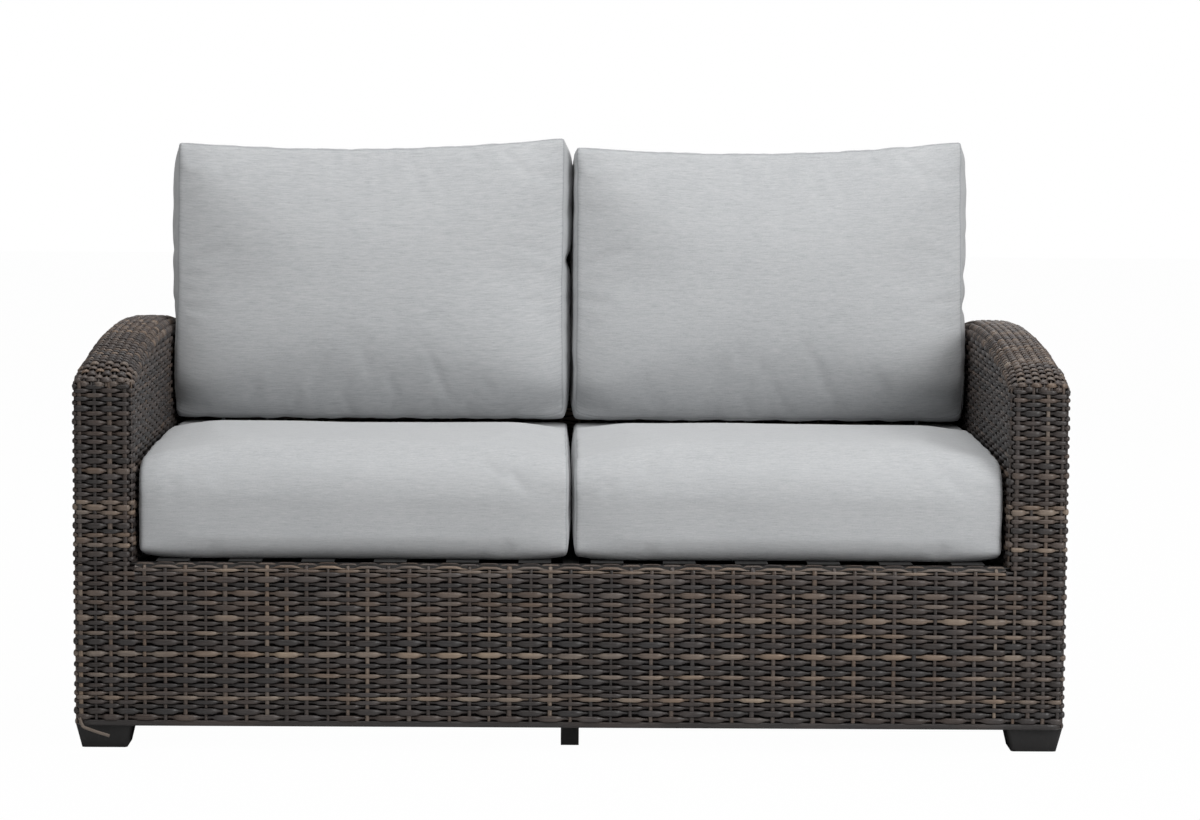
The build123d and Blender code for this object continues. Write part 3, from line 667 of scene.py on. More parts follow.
class Weave:
    """Guide lines for one woven piece, with what the sweep reads at each point."""

    NUMBERS = ("phase", "lift", "size", "tone", "along")

    def __init__(self, name, seed):
        self.name = name
        self.random = np.random.default_rng(seed)
        self.points = []
        self.outs = []
        self.edges = []
        self.faces = []
        self.flags = []
        self.numbers = {key: [] for key in self.NUMBERS}
        self.count = 0

    def store(self, points, outs, strand, **numbers):
        first = self.count
        self.points.append(points)
        self.outs.append(outs)
        self.flags.append(np.full(len(points), strand))
        for key in self.NUMBERS:
            value = np.asarray(numbers.get(key, 0.0), float)
            self.numbers[key].append(np.broadcast_to(value, (len(points),)))
        self.count += len(points)
        return first

    def line(self, points, outs, phase=0.0, lift=0.0, size=1.0, tone=0.5):
        """One strand along points, a whole length of it with its own start."""
        steps = np.linalg.norm(np.diff(points, axis=0), axis=1)
        along = np.concatenate([[0.0], np.cumsum(steps)]) * MM + self.random.uniform(0.0, GRAIN_START)
        first = self.store(points, outs, True, phase=phase, lift=lift, size=size, tone=tone, along=along)
        ends = np.arange(first, self.count - 1)
        self.edges.append(np.stack([ends, ends + 1], axis=1))

    def sheet(self, points, outs):
        """A thin dark sheet of painted shade through a grid of points, closed all round."""
        rows, columns = points.shape[:2]
        front = points - outs * SHADE_SHEET_DEPTH
        rear = points - outs * (SHADE_SHEET_DEPTH + SHADE_SHEET_THICK)
        flat_outs = outs.reshape(-1, 3)
        first = self.store(front.reshape(-1, 3), flat_outs, False)
        second = self.store(rear.reshape(-1, 3), flat_outs, False)
        spot = np.arange(rows * columns).reshape(rows, columns)
        a, b, c, d = spot[:-1, :-1], spot[:-1, 1:], spot[1:, 1:], spot[1:, :-1]
        quads = np.stack([a, b, c, d], axis=-1).reshape(-1, 4)
        across_way = points[1, 0] - points[0, 0]
        along_way = points[0, 1] - points[0, 0]
        if np.cross(along_way, across_way) @ outs[0, 0] < 0:
            quads = quads[:, ::-1]
        self.faces.append(quads + first)
        self.faces.append(quads[:, ::-1] + second)
        rim = np.concatenate([spot[0, :], spot[1:, -1], spot[-1, -2::-1], spot[-2:0:-1, 0]])
        turned = np.stack([rim, np.roll(rim, -1)], axis=1)
        edge_pairs = {(int(p), int(q)) for quad in quads[:1] for p, q in zip(quad, np.roll(quad, -1))}
        same_way = (int(rim[0]), int(rim[1])) in edge_pairs
        near, far = (turned[:, 1], turned[:, 0]) if same_way else (turned[:, 0], turned[:, 1])
        self.faces.append(np.stack([near + first, far + first, far + second, near + second], axis=1))

    def backed(self, place, stations, levels):
        """The dark sheet of painted shade behind the strands, through the stations at each level."""
        grids = [place(stations, level) for level in levels]
        self.sheet(np.stack([grid[0] for grid in grids]), np.stack([grid[1] for grid in grids]))

    def rows(self, laid, place, span, marks, steps, shift=0, lift=1.0):
        """Rows of strand, each laid at its level, over and under at the marks."""
        for number, (level, size, tone) in enumerate(laid):
            reach = span(level)
            if reach is None:
                continue
            stations = marks(level)
            count = np.arange(len(stations))
            first, last = np.interp(reach, stations, count)
            if last - first < SHORTEST_ROW:
                continue
            start = math.ceil(first * steps + ROW_END_GAP)
            stop = math.floor(last * steps - ROW_END_GAP)
            inner = np.arange(start, stop + 1) / steps
            phase = np.concatenate([[first], inner, [last]])
            points, outs = place(np.interp(phase, count, stations), level)
            across = unit(np.cross(outs, np.gradient(points, axis=0)))
            stray = ROW_WANDER * np.sin(phase * ROW_WANDER_RATE + self.random.uniform(0.0, 2 * math.pi))
            points = points + across * stray[:, None]
            self.line(points, outs, phase + number + shift, lift, size, tone)

    def stakes(self, place, marks, span, levels):
        """Straight stakes at the marks, each through the levels that lie within the span."""
        for number in range(len(marks(levels[0]))):
            stations = np.array([marks(level)[number] for level in levels])
            inside = [
                index
                for index, level in enumerate(levels)
                if span(level) is not None and span(level)[0] <= stations[index] <= span(level)[1]
            ]
            size = STAKE_SIZE + self.random.uniform(-1.0, 1.0) * STAKE_SIZE_SPREAD
            tone = self.random.choice(STAKE_TONES)
            if len(inside) < 2:
                continue
            pairs = [place(np.array([stations[index]]), levels[index]) for index in inside]
            points = np.concatenate([pair[0] for pair in pairs])
            outs = np.concatenate([pair[1] for pair in pairs])
            self.line(points, outs, 0.0, 0.0, size, tone)

    def wandering(self, marks):
        """Marks that stray a little from even steps, apart from those at the ends."""
        moved = marks.copy()
        moved[2:-2] += self.random.uniform(-STAKE_WANDER, STAKE_WANDER, len(marks) - 4)
        return moved

    def finish(self, body, replaced, sides):
        mesh = bpy.data.meshes.new(self.name)
        points = metres(np.concatenate(self.points))
        edges = np.concatenate(self.edges).tolist()
        faces = np.concatenate(self.faces).tolist() if self.faces else []
        mesh.from_pydata(points.tolist(), edges, faces)
        outs = mesh.attributes.new("out", "FLOAT_VECTOR", "POINT")
        outs.data.foreach_set("vector", np.concatenate(self.outs).astype(np.float32).ravel())
        flags = mesh.attributes.new("strand", "BOOLEAN", "POINT")
        flags.data.foreach_set("value", np.concatenate(self.flags))
        for key in self.NUMBERS:
            column = mesh.attributes.new(key, "FLOAT", "POINT")
            column.data.foreach_set("value", np.concatenate(self.numbers[key]).astype(np.float32))
        piece = placed(self.name, mesh)
        values = {
            "Strand Breadth": STRAND_BREADTH * MM,
            "Strand Thickness": STRAND_THICK * MM,
            "Wave Height": WAVE_HEIGHT * MM,
            "Under Squeeze": UNDER_SQUEEZE,
            "Sides": sides,
            "Strand Finish": STRAND,
            "Shade Sheet Finish": SHADE_SHEET,
        }
        plain_mesh(piece, STRAND_TREE, values)
        for key in ("out", "phase", "lift", "size", "strand"):
            layer = piece.data.attributes.get(key)
            if layer:
                piece.data.attributes.remove(layer)
        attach(piece, body)
        if replaced:
            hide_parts(*replaced)
        return piece


def courses(seed, low, high, fine=1.0):
    """Rows from one level to another, each with its own breadth and tone."""
    random = np.random.default_rng(seed)
    made = []
    level = low
    while True:
        wide = random.random() < WIDE_SHARE
        size = (WIDE_SIZE if wide else THIN_SIZE) * fine * random.uniform(*SIZE_SPREAD)
        kind = random.random()
        if kind < DARK_BELOW:
            tone = random.uniform(*DARK_TONES)
        elif kind < MIDDLE_BELOW:
            tone = random.uniform(*MIDDLE_TONES)
        else:
            tone = random.uniform(*PALE_TONES)
        pitch = ROW_PITCH * size
        if level + pitch > high:
            break
        made.append((level + pitch / 2, size, tone))
        level += pitch
    slack = (high - level) / max(len(made), 1)
    return [(at + slack * (number + 0.5), size, tone) for number, (at, size, tone) in enumerate(made)]


def evenly(low, high, pitch):
    """Marks at about a pitch between two ends, both included."""
    return np.linspace(low, high, max(int(round((high - low) / pitch)), 1) + 1)


def with_margins(marks, pitch):
    """Marks with one more beyond each end, so that a row can reach past the last stake."""
    return np.concatenate([[marks[0] - pitch], marks, [marks[-1] + pitch]])


def arch_span(low_y, high_y, drop):
    """The stretch of a side, front to rear, that lies under the arm's top at a height."""
    ys = np.linspace(low_y, high_y, SPAN_STEPS)

    def span(z):
        under = ys[arch(ys) - drop >= z]
        return (under[0], under[-1]) if len(under) > 1 else None

    return span


def level_steps(low, high):
    """Levels at about even steps between two ends, both included."""
    return np.linspace(low, high, max(int((high - low) / LEVEL_STEP), 1) + 1)


LEVEL_STEP = 30.0
SPAN_STEPS = 400
MID = SKIN / 2
STAKE_LOW = LOW + 1.0
BELT_TOP = SEAT_RAIL_TOP - 12.0
JOIN_PITCH = ARM_WIDTH - ARM_STAKE_FIRST - (ARM_STAKES - 1) * ARM_STAKE_PITCH + PANEL_STAKE_FIRST
BELT = courses(11, LOW + BINDING_HEIGHT, BELT_TOP)
ARM_FRONT_TOP = float(arch(FRONT)) - ARM_EDGE_DROP
UPPER = courses(12, BELT_TOP, ARCH_TOP)
BELT_STEPS = 6
SIDE_STEPS = 4
SIDE_STAKES = 28
SIDE_MARKS = with_margins(FRONT + SIDE_STAKE_FIRST + STAKE_PITCH * np.arange(SIDE_STAKES), STAKE_PITCH)
SHEET_LAP = 2.0


def binding(weave, place, spans):
    """The flat dark strand along a bottom edge."""
    level = LOW + BINDING_HEIGHT / 2
    stations = np.linspace(spans[0], spans[1], max(int((spans[1] - spans[0]) / BINDING_STEP), 8))
    points, outs = place(stations, level)
    weave.line(points + outs * BINDING_LIFT, outs, 0.0, 0.0, BINDING_SIZE, BINDING_TONE)


def make_front():
    """The front panel, turned over the seat rail at its top."""
    weave = Weave("front_wicker", 21)
    fold = SEAT_RAIL_TOP - FOLD_DROP
    profile = Bend([(FRONT + MID, LOW), (FRONT + MID, fold), (FRONT + FOLD_REACH, fold)], CORNER_RADIUS)

    def place(x, level):
        (y, z), (ny, nz) = (part.T for part in profile.at(np.full(len(x), level - LOW)))
        zero = np.zeros(len(x))
        return np.stack([x, y, z], -1), np.stack([zero, ny, nz], -1)

    edge = INNER_HALF - PANEL_STAKE_FIRST
    marks = weave.wandering(with_margins(evenly(-edge, edge, STAKE_PITCH), JOIN_PITCH))
    reach = (-INNER_HALF, INNER_HALF)
    turn = profile.length + LOW
    top_rows = courses(14, BELT_TOP, turn - FOLD_END_GAP, FOLD_FINENESS)
    top_rows = [(z, size, FOLD_TONE + FOLD_TONE_SPREAD * tone) for z, size, tone in top_rows]
    weave.rows(BELT + top_rows, place, lambda z: reach, lambda z: marks, BELT_STEPS, 1)
    over_fold = np.linspace(BELT_TOP + FOLD_END_GAP, turn, 6)
    levels = np.concatenate([[STAKE_LOW], level_steps(LOW + 12.0, BELT_TOP - FOLD_END_GAP), over_fold])
    weave.stakes(place, lambda z: marks, lambda z: reach, levels)
    binding(weave, place, reach)
    levels = np.concatenate([[LOW], np.linspace(BELT_TOP, turn, 8)])
    weave.backed(place, np.linspace(-INNER_HALF, INNER_HALF, 3), levels)
    return weave.finish("frame", ["front_weave"], 8)


def make_arm_front(name, side):
    """The front of an arm with both of its upright corners."""
    weave = Weave(f"{name}_arm_front_wicker", 31 if side < 0 else 32)
    outer = HALF_WIDTH - MID
    inner = INNER_HALF + MID
    front = FRONT + MID
    low_path = Bend([(outer, front + ARM_TURN), (outer, front), (INNER_HALF, front)], CORNER_RADIUS)
    high_path = Bend(
        [(outer, front + ARM_TURN), (outer, front), (inner, front), (inner, front + ARM_TURN)], CORNER_RADIUS
    )

    def path(z):
        return low_path if z < SEAT_RAIL_TOP else high_path

    def place(s, z):
        (a, y), (na, ny) = (part.T for part in path(z).at(s))
        level = np.full(len(a), z)
        return np.stack([side * a, y, level], -1), np.stack([side * na, ny, np.zeros(len(a))], -1)

    def stations(bend, upper):
        spots = [(outer, FRONT + SIDE_STAKE_FIRST)]
        spots += [
            (HALF_WIDTH - ARM_STAKE_FIRST - ARM_STAKE_PITCH * step, front) for step in range(ARM_STAKES)
        ]
        if upper:
            spots.append((inner, FRONT + SIDE_STAKE_FIRST))
        return np.array([bend.nearest(spot) for spot in spots])

    low_marks = with_margins(stations(low_path, False), STAKE_PITCH)
    low_marks[-1] = low_marks[-2] + JOIN_PITCH
    high_marks = with_margins(stations(high_path, True), STAKE_PITCH)

    def marks(z):
        return low_marks if z < SEAT_RAIL_TOP else high_marks

    def span(z):
        return (0.0, path(z).length)

    laid = BELT + [course for course in UPPER if course[0] < ARM_FRONT_TOP]
    weave.rows(laid, place, span, marks, BELT_STEPS)
    weave.stakes(place, lambda z: low_marks, span, [STAKE_LOW, SEAT_RAIL_TOP - 1.0])
    weave.stakes(place, lambda z: high_marks, span, [SEAT_RAIL_TOP + 1.0, ARM_FRONT_TOP + 4.0])
    binding(weave, place, (0.0, low_path.length))
    weave.backed(place, low_path.distances, (LOW, SEAT_RAIL_TOP - 1.0))
    weave.backed(place, high_path.distances, (SEAT_RAIL_TOP + ARM_SHEET_STEP, ARM_FRONT_TOP + 6.0))
    return weave.finish("frame", [f"{name}_arm_front_weave"], 8)


def side_place(x, side_out):
    """Places on an upright side at x, which faces along the sign of side_out."""

    def place(y, z):
        level = np.full(len(y), float(z))
        out = np.zeros((len(y), 3))
        out[:, 0] = side_out
        return np.stack([np.full(len(y), x), y, level], -1), out

    return place


def side_sheet(weave, place, feet, ys, tops):
    """The dark sheet of painted shade behind an arm's side, from a foot to a top at each place along it."""
    columns = []
    for levels in (feet, tops):
        columns.append([place(np.array([y]), level)[0][0] for y, level in zip(ys, levels)])
    outs = np.broadcast_to(place(ys[:1], feet[0])[1][0], (2, len(ys), 3))
    weave.sheet(np.array(columns), np.array(outs))


def make_arm_outer(name, side):
    """The outside of an arm, under its arch."""
    weave = Weave(f"{name}_outer_wicker", 41 if side < 0 else 42)
    place = side_place(side * (HALF_WIDTH - MID), side)
    start = FRONT + MID + ARM_TURN
    under = arch_span(start, ARCH_REAR, OUTER_CREASE_DROP + TUCK_UNDER)

    def span(z):
        reach = under(z)
        return None if reach is None else (reach[0], min(reach[1], float(rear_y(z)) - MID - ARM_TURN))

    weave.rows(BELT + UPPER, place, span, lambda z: SIDE_MARKS, SIDE_STEPS)
    levels = np.concatenate([[STAKE_LOW], np.linspace(LOW + 10.0, ARCH_TOP - 12.0, 60)])
    weave.stakes(place, lambda z: SIDE_MARKS, span, levels)
    binding(weave, place, span(STAKE_LOW))
    ys = np.linspace(start - SHEET_LAP, float(rear_y(LOW)) - MID - ARM_TURN, 30)
    raked = np.linspace(ys[-1] + 5.0, float(rear_y(ARM_REAR_TOP)) - MID - ARM_TURN, 8)
    foot = SEAT_RAIL_TOP + (raked - ys[-1]) / math.tan(RECLINE)
    side_sheet(weave, place, np.full(len(ys), LOW), ys, arch(ys) - OUTER_CREASE_DROP)
    side_sheet(weave, place, foot, raked, arch(raked) - OUTER_CREASE_DROP)
    return weave.finish("frame", [f"{name}_outer_weave"], 6)


def make_arm_inner(name, side):
    """The inside of an arm, from the seat rail to the rounded crease at its top."""
    weave = Weave(f"{name}_inner_wicker", 51 if side < 0 else 52)
    place = side_place(side * (INNER_HALF + MID), -side)
    start = FRONT + MID + ARM_TURN
    under = arch_span(start, ARCH_REAR, INNER_CREASE_DROP - TUCK_UNDER)

    def span(z):
        reach = under(z)
        return None if reach is None else (reach[0], min(reach[1], float(back_face_y(z)) + BEHIND_CUSHION))

    laid = BELT + UPPER
    skipped = sum(1 for course in laid if course[0] < SEAT_RAIL_TOP)
    weave.rows(laid[skipped:], place, span, lambda z: SIDE_MARKS, SIDE_STEPS, skipped + 1)
    levels = np.linspace(SEAT_RAIL_TOP + 1.0, ARCH_TOP - INNER_CREASE_DROP + 2.0, 40)
    weave.stakes(place, lambda z: SIDE_MARKS, span, levels)
    end = float(back_face_y(INNER_SHEET_LEVEL)) + SHEET_BEHIND_CUSHION
    ys = np.linspace(start - SHEET_LAP, end, 30)
    side_sheet(weave, place, np.full(len(ys), SEAT_RAIL_TOP), ys, arch(ys) - INNER_CREASE_DROP)
    return weave.finish("frame", [f"{name}_inner_weave"], 6)


def outer_ease(a, y):
    """How much lower the outer edge of an arm's top lies than its middle, behind its front edge."""
    share = np.clip((a - (HALF_WIDTH - OUTER_EASE_REACH)) / OUTER_EASE_REACH, 0.0, 1.0) ** 2
    return OUTER_EASE * share * np.clip((y - FRONT) / OUTER_EASE_RUN, 0.0, 1.0)


def make_arm_rail(name, side, place):
    """The arched tube under one edge of an arm's top, rounded under the crease."""
    node = f"{name}_{place}_arm_rail"
    low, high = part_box(node)
    reach = sorted((abs(low.x) / MM, abs(high.x) / MM))
    far, near = reach if place == "outer" else reversed(reach)
    turn = RAIL_RADIUS * (1.0 if near > far else -1.0)
    tube = reach[1] - reach[0]
    angles = np.linspace(0.0, math.pi / 2, RAIL_CORNER_POINTS)
    across = np.concatenate([[far], near - turn + turn * np.sin(angles), [near, far]])
    down = SKIN + np.concatenate([[0.0], RAIL_RADIUS * (1.0 - np.cos(angles)), [tube, tube]])
    ends = rear_y(ARM_REAR_TOP - down) - SKIN
    rings = []
    for share in np.linspace(0.0, 1.0, RAIL_RINGS):
        ys = low.y / MM + (ends - low.y / MM) * share
        rings.append(np.stack([side * across, ys, arch(ys) - down - outer_ease(across, ys)], -1))
    count = len(across)
    shape = bmesh.new()
    corners = [shape.verts.new(point) for point in metres(np.concatenate(rings)).tolist()]
    for first in range(0, len(corners) - count, count):
        for spot in range(count):
            after = (spot + 1) % count
            loop = (first + spot, first + after, first + after + count, first + spot + count)
            shape.faces.new([corners[index] for index in loop])
    shape.faces.new(corners[:count])
    shape.faces.new(corners[-count:])
    bmesh.ops.recalc_face_normals(shape, faces=shape.faces)
    mesh = bpy.data.meshes.new(f"{node}_tube")
    shape.to_mesh(mesh)
    shape.free()
    piece = placed(mesh.name, mesh)
    mesh.materials.append(COATED)
    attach(piece, "frame")
    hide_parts(node)


def make_arm_top(name, side):
    """The top of an arm: strands run back along the arch and turn down at its front edge."""
    weave = Weave(f"{name}_arm_top_wicker", 61 if side < 0 else 62)
    ys = np.linspace(FRONT + 1.0, float(rear_y(ARM_REAR_TOP)), 60)
    corners = [(FRONT, float(arch(FRONT)) - ARM_EDGE_DROP - 2.0)] + [(y, float(arch(y))) for y in ys]
    arch_path = Bend(corners, [ARM_EDGE_RADIUS] + [0.0] * (len(corners) - 3))
    section = Bend(
        [
            (INNER_HALF + MID, -INNER_CREASE_DROP),
            (INNER_HALF + MID, -MID),
            (HALF_WIDTH - MID, -MID),
            (HALF_WIDTH - MID, -OUTER_CREASE_DROP),
        ],
        [INNER_CREASE_RADIUS, OUTER_CREASE_RADIUS],
    )

    def place(t, s):
        (y, z), (ny, nz) = arch_path.at(s)
        (a, depth), (na, nn) = (part.T for part in section.at(t))
        shape = np.stack([side * a, y + depth * ny, z + depth * nz - outer_ease(a, y)], -1)
        return shape, unit(np.stack([side * na, nn * ny, nn * nz], -1))

    half = TOP_STAKE_PITCH / 2
    marks = with_margins(evenly(half, section.length - half, TOP_STAKE_PITCH), TOP_STAKE_PITCH)
    reach = (0.0, section.length)
    fine = TOP_ROW_PITCH / ROW_PITCH
    laid = courses(63 + side, 0.0, arch_path.length, fine)
    laid = [(s, size, TOP_TONE + TOP_TONE_SPREAD * (tone - TOP_TONE)) for s, size, tone in laid]
    weave.rows(laid, place, lambda s: reach, lambda s: marks, SIDE_STEPS, 0, TOP_LIFT)
    stations = np.linspace(0.0, arch_path.length, 70)
    flat = (INNER_CREASE_DROP, section.length - OUTER_CREASE_DROP)
    for mark in marks[(marks > flat[0]) & (marks < flat[1])]:
        pairs = [place(np.array([mark]), s) for s in stations]
        points = np.concatenate([pair[0] for pair in pairs])
        outs = np.concatenate([pair[1] for pair in pairs])
        weave.line(points, outs, 0.0, 0.0, TOP_STAKE_SIZE, weave.random.uniform(*TOP_STAKE_TONES))
    weave.backed(place, np.linspace(0.0, section.length, 16), arch_path.distances)
    return weave.finish("frame", [f"{name}_arm_top_weave"], 8)


def raked_outs(na, ny, z):
    """Outward directions on the rear, which leans back above the seat rail."""
    lean = np.where(np.asarray(z) > SEAT_RAIL_TOP, RECLINE, 0.0)
    return unit(np.stack([na, ny * np.cos(lean), -ny * np.sin(lean)], -1))


def make_arm_rear(name, side):
    """The rear of an arm with its upright rear corner."""
    weave = Weave(f"{name}_arm_rear_wicker", 71 if side < 0 else 72)
    outer = HALF_WIDTH - MID
    path = Bend([(INNER_HALF, -MID), (outer, -MID), (outer, -MID - ARM_TURN)], CORNER_RADIUS)

    def place(s, z):
        (a, y), (na, ny) = (part.T for part in path.at(s))
        level = np.full(len(a), float(z))
        return np.stack([side * a, y + rear_y(level), level], -1), raked_outs(side * na, ny, level)

    last = HALF_WIDTH - ARM_STAKE_FIRST
    spots = [(last - ARM_STAKE_PITCH * step, -MID) for step in reversed(range(ARM_STAKES))]
    spots.append((outer, -MID - SIDE_STAKE_FIRST))
    marks = with_margins(np.array([path.nearest(spot) for spot in spots]), STAKE_PITCH)
    marks[0] = marks[1] - JOIN_PITCH
    top = ARM_REAR_TOP
    reach = (0.0, path.length)
    laid = BELT + [course for course in UPPER if course[0] < top - 4.0]
    weave.rows(laid, place, lambda z: reach, lambda z: marks, SIDE_STEPS)
    weave.stakes(place, lambda z: marks, lambda z: reach, [STAKE_LOW, SEAT_RAIL_TOP, top - 2.0])
    binding(weave, place, reach)
    weave.backed(place, path.distances, (LOW, SEAT_RAIL_TOP, top - 3.0))
    return weave.finish("frame", [f"{name}_arm_rear_weave"], 6)


def rear_place(x, z):
    """Places on the rear face, and the ways that it faces there."""
    level = np.full(len(x), float(z))
    outs = raked_outs(np.zeros(len(x)), np.ones(len(x)), level)
    return np.stack([x, rear_y(level) - MID, level], -1), outs


def make_rear():
    """The skirt below the seat and the rear of the back above it."""
    edge = INNER_HALF - PANEL_STAKE_FIRST
    marks = with_margins(evenly(-edge, edge, STAKE_PITCH), JOIN_PITCH)
    reach = (-INNER_HALF, INNER_HALF)
    top = float(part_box("back_rear_weave")[1].z) / MM - BACK_EDGE_DROP
    high_rows = UPPER + [course for course in courses(13, UPPER[-1][0] + 4.0, top) if course[0] < top]
    jobs = (
        ("rear_skirt_wicker", 81, BELT, LOW, SEAT_RAIL_TOP - BACK_EDGE_DROP, "rear_skirt_weave"),
        ("back_rear_wicker", 82, high_rows, SEAT_RAIL_TOP - BACK_EDGE_DROP, top, "back_rear_weave"),
    )
    for name, seed, laid, low, high, node in jobs:
        weave = Weave(name, seed)
        weave.rows(laid, rear_place, lambda z: reach, lambda z: marks, SIDE_STEPS)
        levels = [STAKE_LOW, high] if low == LOW else [low, SEAT_RAIL_TOP, high]
        weave.stakes(rear_place, lambda z: marks, lambda z: reach, levels)
        if low == LOW:
            binding(weave, rear_place, reach)
        weave.backed(rear_place, np.array(reach), levels)
        weave.finish("frame", [node], 6)


def make_back_front():
    """The front of the back, turned over its sides above the arms and over its top."""
    weave = Weave("back_front_wicker", 91)
    half = INNER_HALF - MID
    rim = BACK_THICK - MID
    full = Bend([(half, rim), (half, MID), (-half, MID), (-half, rim)], CORNER_RADIUS)
    flat = Bend([(half, MID), (0.0, MID), (-half, MID)], 0.0)
    lean, level_share = math.sin(RECLINE), math.cos(RECLINE)
    low = SEAT_RAIL_TOP - BACK_START_DROP
    turn_level = ARM_REAR_TOP - BACK_TURN_DROP

    def path(z):
        return full if z > turn_level else flat

    def place(s, z):
        (x, depth), (nx, nd) = (part.T for part in path(z).at(s))
        y = back_face_y(z) + depth * level_share
        height = z - depth * lean
        outs = np.stack([nx, nd * level_share, -nd * lean], -1)
        return np.stack([x, y, height], -1), unit(outs)

    edge = half - PANEL_STAKE_FIRST
    flat_marks = with_margins(evenly(half - edge, half + edge, STAKE_PITCH), STAKE_PITCH)
    side_length = (full.length - 2 * half) / 2
    side_marks = side_length - BACK_SIDE_STAKE_LAST - STAKE_PITCH * np.array([1.0, 0.0])
    full_marks = np.concatenate([
        [side_marks[0] - STAKE_PITCH],
        side_marks,
        flat_marks[1:-1] + side_length,
        full.length - side_marks[::-1],
        [full.length - side_marks[0] + STAKE_PITCH],
    ])

    def marks(z):
        return full_marks if path(z) is full else flat_marks

    top = BACK_TOP - SKIN
    weave.rows(courses(92, low, top), place, lambda z: (0.0, path(z).length), marks, SIDE_STEPS)
    weave.stakes(place, lambda z: flat_marks, lambda z: (0.0, flat.length), [low, turn_level - 1.0])
    weave.stakes(place, lambda z: full_marks, lambda z: (0.0, full.length), [turn_level + 1.0, top - 4.0])
    corners = [(MID, -BACK_TOP_TURN), (MID, -MID), (rim, -MID), (rim, -BACK_TOP_TURN)]
    top_profile = Bend(corners, CORNER_RADIUS)

    def top_place(x, t):
        t = np.broadcast_to(np.asarray(t, float), np.shape(x))
        (depth, rise), (nd, nr) = (part.T for part in top_profile.at(t))
        base_y = float(back_face_y(BACK_TOP))
        y = base_y + depth * level_share + rise * lean
        z = BACK_TOP - depth * lean + rise * level_share
        outs = np.stack([np.zeros(len(x)), nd * level_share + nr * lean, -nd * lean + nr * level_share], -1)
        return np.stack([x, y, z], -1), unit(outs)

    top_marks = with_margins(evenly(-edge, edge, STAKE_PITCH), STAKE_PITCH)
    reach = (-half, half)
    laid = courses(93, 4.0, top_profile.length)
    weave.rows(laid, top_place, lambda t: reach, lambda t: top_marks, SIDE_STEPS)
    levels = np.linspace(0.0, top_profile.length, 14)
    weave.stakes(top_place, lambda t: top_marks, lambda t: reach, levels)
    weave.backed(place, flat.distances, (low, turn_level))
    weave.backed(place, full.distances, (turn_level + BACK_SHEET_STEP, top))
    weave.backed(top_place, np.array(reach), np.linspace(8.0, top_profile.length, 12))
    return weave.finish("frame", ["back_front_weave"], 6)


make_front()
make_rear()
make_back_front()
for side_name, side_sign in SIDES:
    make_arm_front(side_name, side_sign)
    make_arm_outer(side_name, side_sign)
    make_arm_inner(side_name, side_sign)
    make_arm_top(side_name, side_sign)
    make_arm_rail(side_name, side_sign, "inner")
    make_arm_rail(side_name, side_sign, "outer")
    make_arm_rear(side_name, side_sign)


# Cushions
CELL = 9.0
RIM = 0.9999
SEAT_CENTRE = 333.5
SEAT_SEAM_HALF = 327.0
SEAT_SEAM_INSET = 6.0
SEAT_SIDE_SWELL = 6.0
SEAT_TOP_SWELL = 2.0
SEAT_FRONT_SWELL = 4.0
SEAT_SHOULDER = 444.0
SEAT_SIDE_CROWN = 9.0
SEAT_CROWN = 9.0
SEAT_LIMIT_FROM = -40.0
SEAT_LIMIT_TO = 105.0
SEAT_DRAW = 0.004
SEAT_NOSE_RADIUS = 46.0
SEAT_CHIN_RADIUS = 5.0
SEAT_CHIN_LIFT = 9.5
SEAT_CHIN_DEPTH = 0.09
SEAT_CHIN_HEIGHT = 0.5
SEAT_CHIN_RUN = 26.0
SEAT_REAR_RADIUS = 20.0
BACK_CENTRE = {"left": -337.5, "right": 332.5}
BACK_SEAM_HALF = 325.0
BACK_DRAW = 0.006
BACK_GUSSET_SWELL = 15.0
BACK_GUSSET_LOW_SHARE = 0.55
BACK_CONTACT_WAVE = 3.0
BACK_CONTACT_GAP = 1.2
BACK_SIDE_GAP = 2.5
BACK_OVERHANG = 11.0
BACK_OVER_RISE = 40.0
BACK_SINK = 18.0
BACK_SINK_FROM = 0.8
BACK_LIP = 13.0
BACK_CORNER_LIFT = 11.0
BACK_LOW_REAR = 240.0
BACK_LOW_DEPTH = 120.0
BACK_ZIP_RELIEF = 1.0
BACK_CALM_FROM = 225.0
SOFT_GAP = 0.8
BACK_SEAM_FRONT = 171.5
BACK_SEAM_REAR = 11.5
BACK_EAR_TOP = 927.0
BACK_SAG = 16.0
BACK_SHOULDER_CROWN = 21.0
BACK_MIDDLE_CROWN = 4.0
BACK_BELLY = 12.0
BACK_BELLY_AT = -0.42
BACK_BELLY_REACH = 0.34
BACK_TUCK = 44.0
BACK_TUCK_REACH = 0.16
BACK_REAR_CROWN = 4.0
BACK_TOP_CROWN = 5.0
SEAM_GROOVE = 1.5
PUCKER_REACH = 34.0
PUCKER_HEIGHT = 1.1
SIM_FRAMES = 20
SIM_PRESSURE = 4.0
SIM_CAP = 24.0
SEAT_EXCESS = 0.002
BACK_EXCESS = 0.006
SEAM_HOLD = 1.0
SEAM_CREASE = 0.9
COVER_CLOTH = {
    "quality": 6,
    "mass": 0.25,
    "tension_stiffness": 18.0,
    "compression_stiffness": 12.0,
    "shear_stiffness": 4.0,
    "bending_stiffness": 0.35,
    "use_pressure": True,
    "uniform_pressure_force": SIM_PRESSURE,
    "pin_stiffness": 1.0,
}

# Small puckers and slow waves of the covers, and where they die out
SEAT_PUCKER_PITCH = 26.0
SEAT_WAVE_PITCH = 120.0
SEAT_WAVE_HEIGHT = 1.2
SEAT_CALM_FADE = 20.0
BACK_PUCKER_PITCH = 30.0
BACK_END_PUCKER_PITCH = 34.0
BACK_WAVE_PITCH = 150.0
BACK_WAVE_HEIGHT = 1.5
BACK_CALM_FADE = 12.0
BACK_CALM_DEPTH = 20.0
CALM_HEIGHT = 4.0


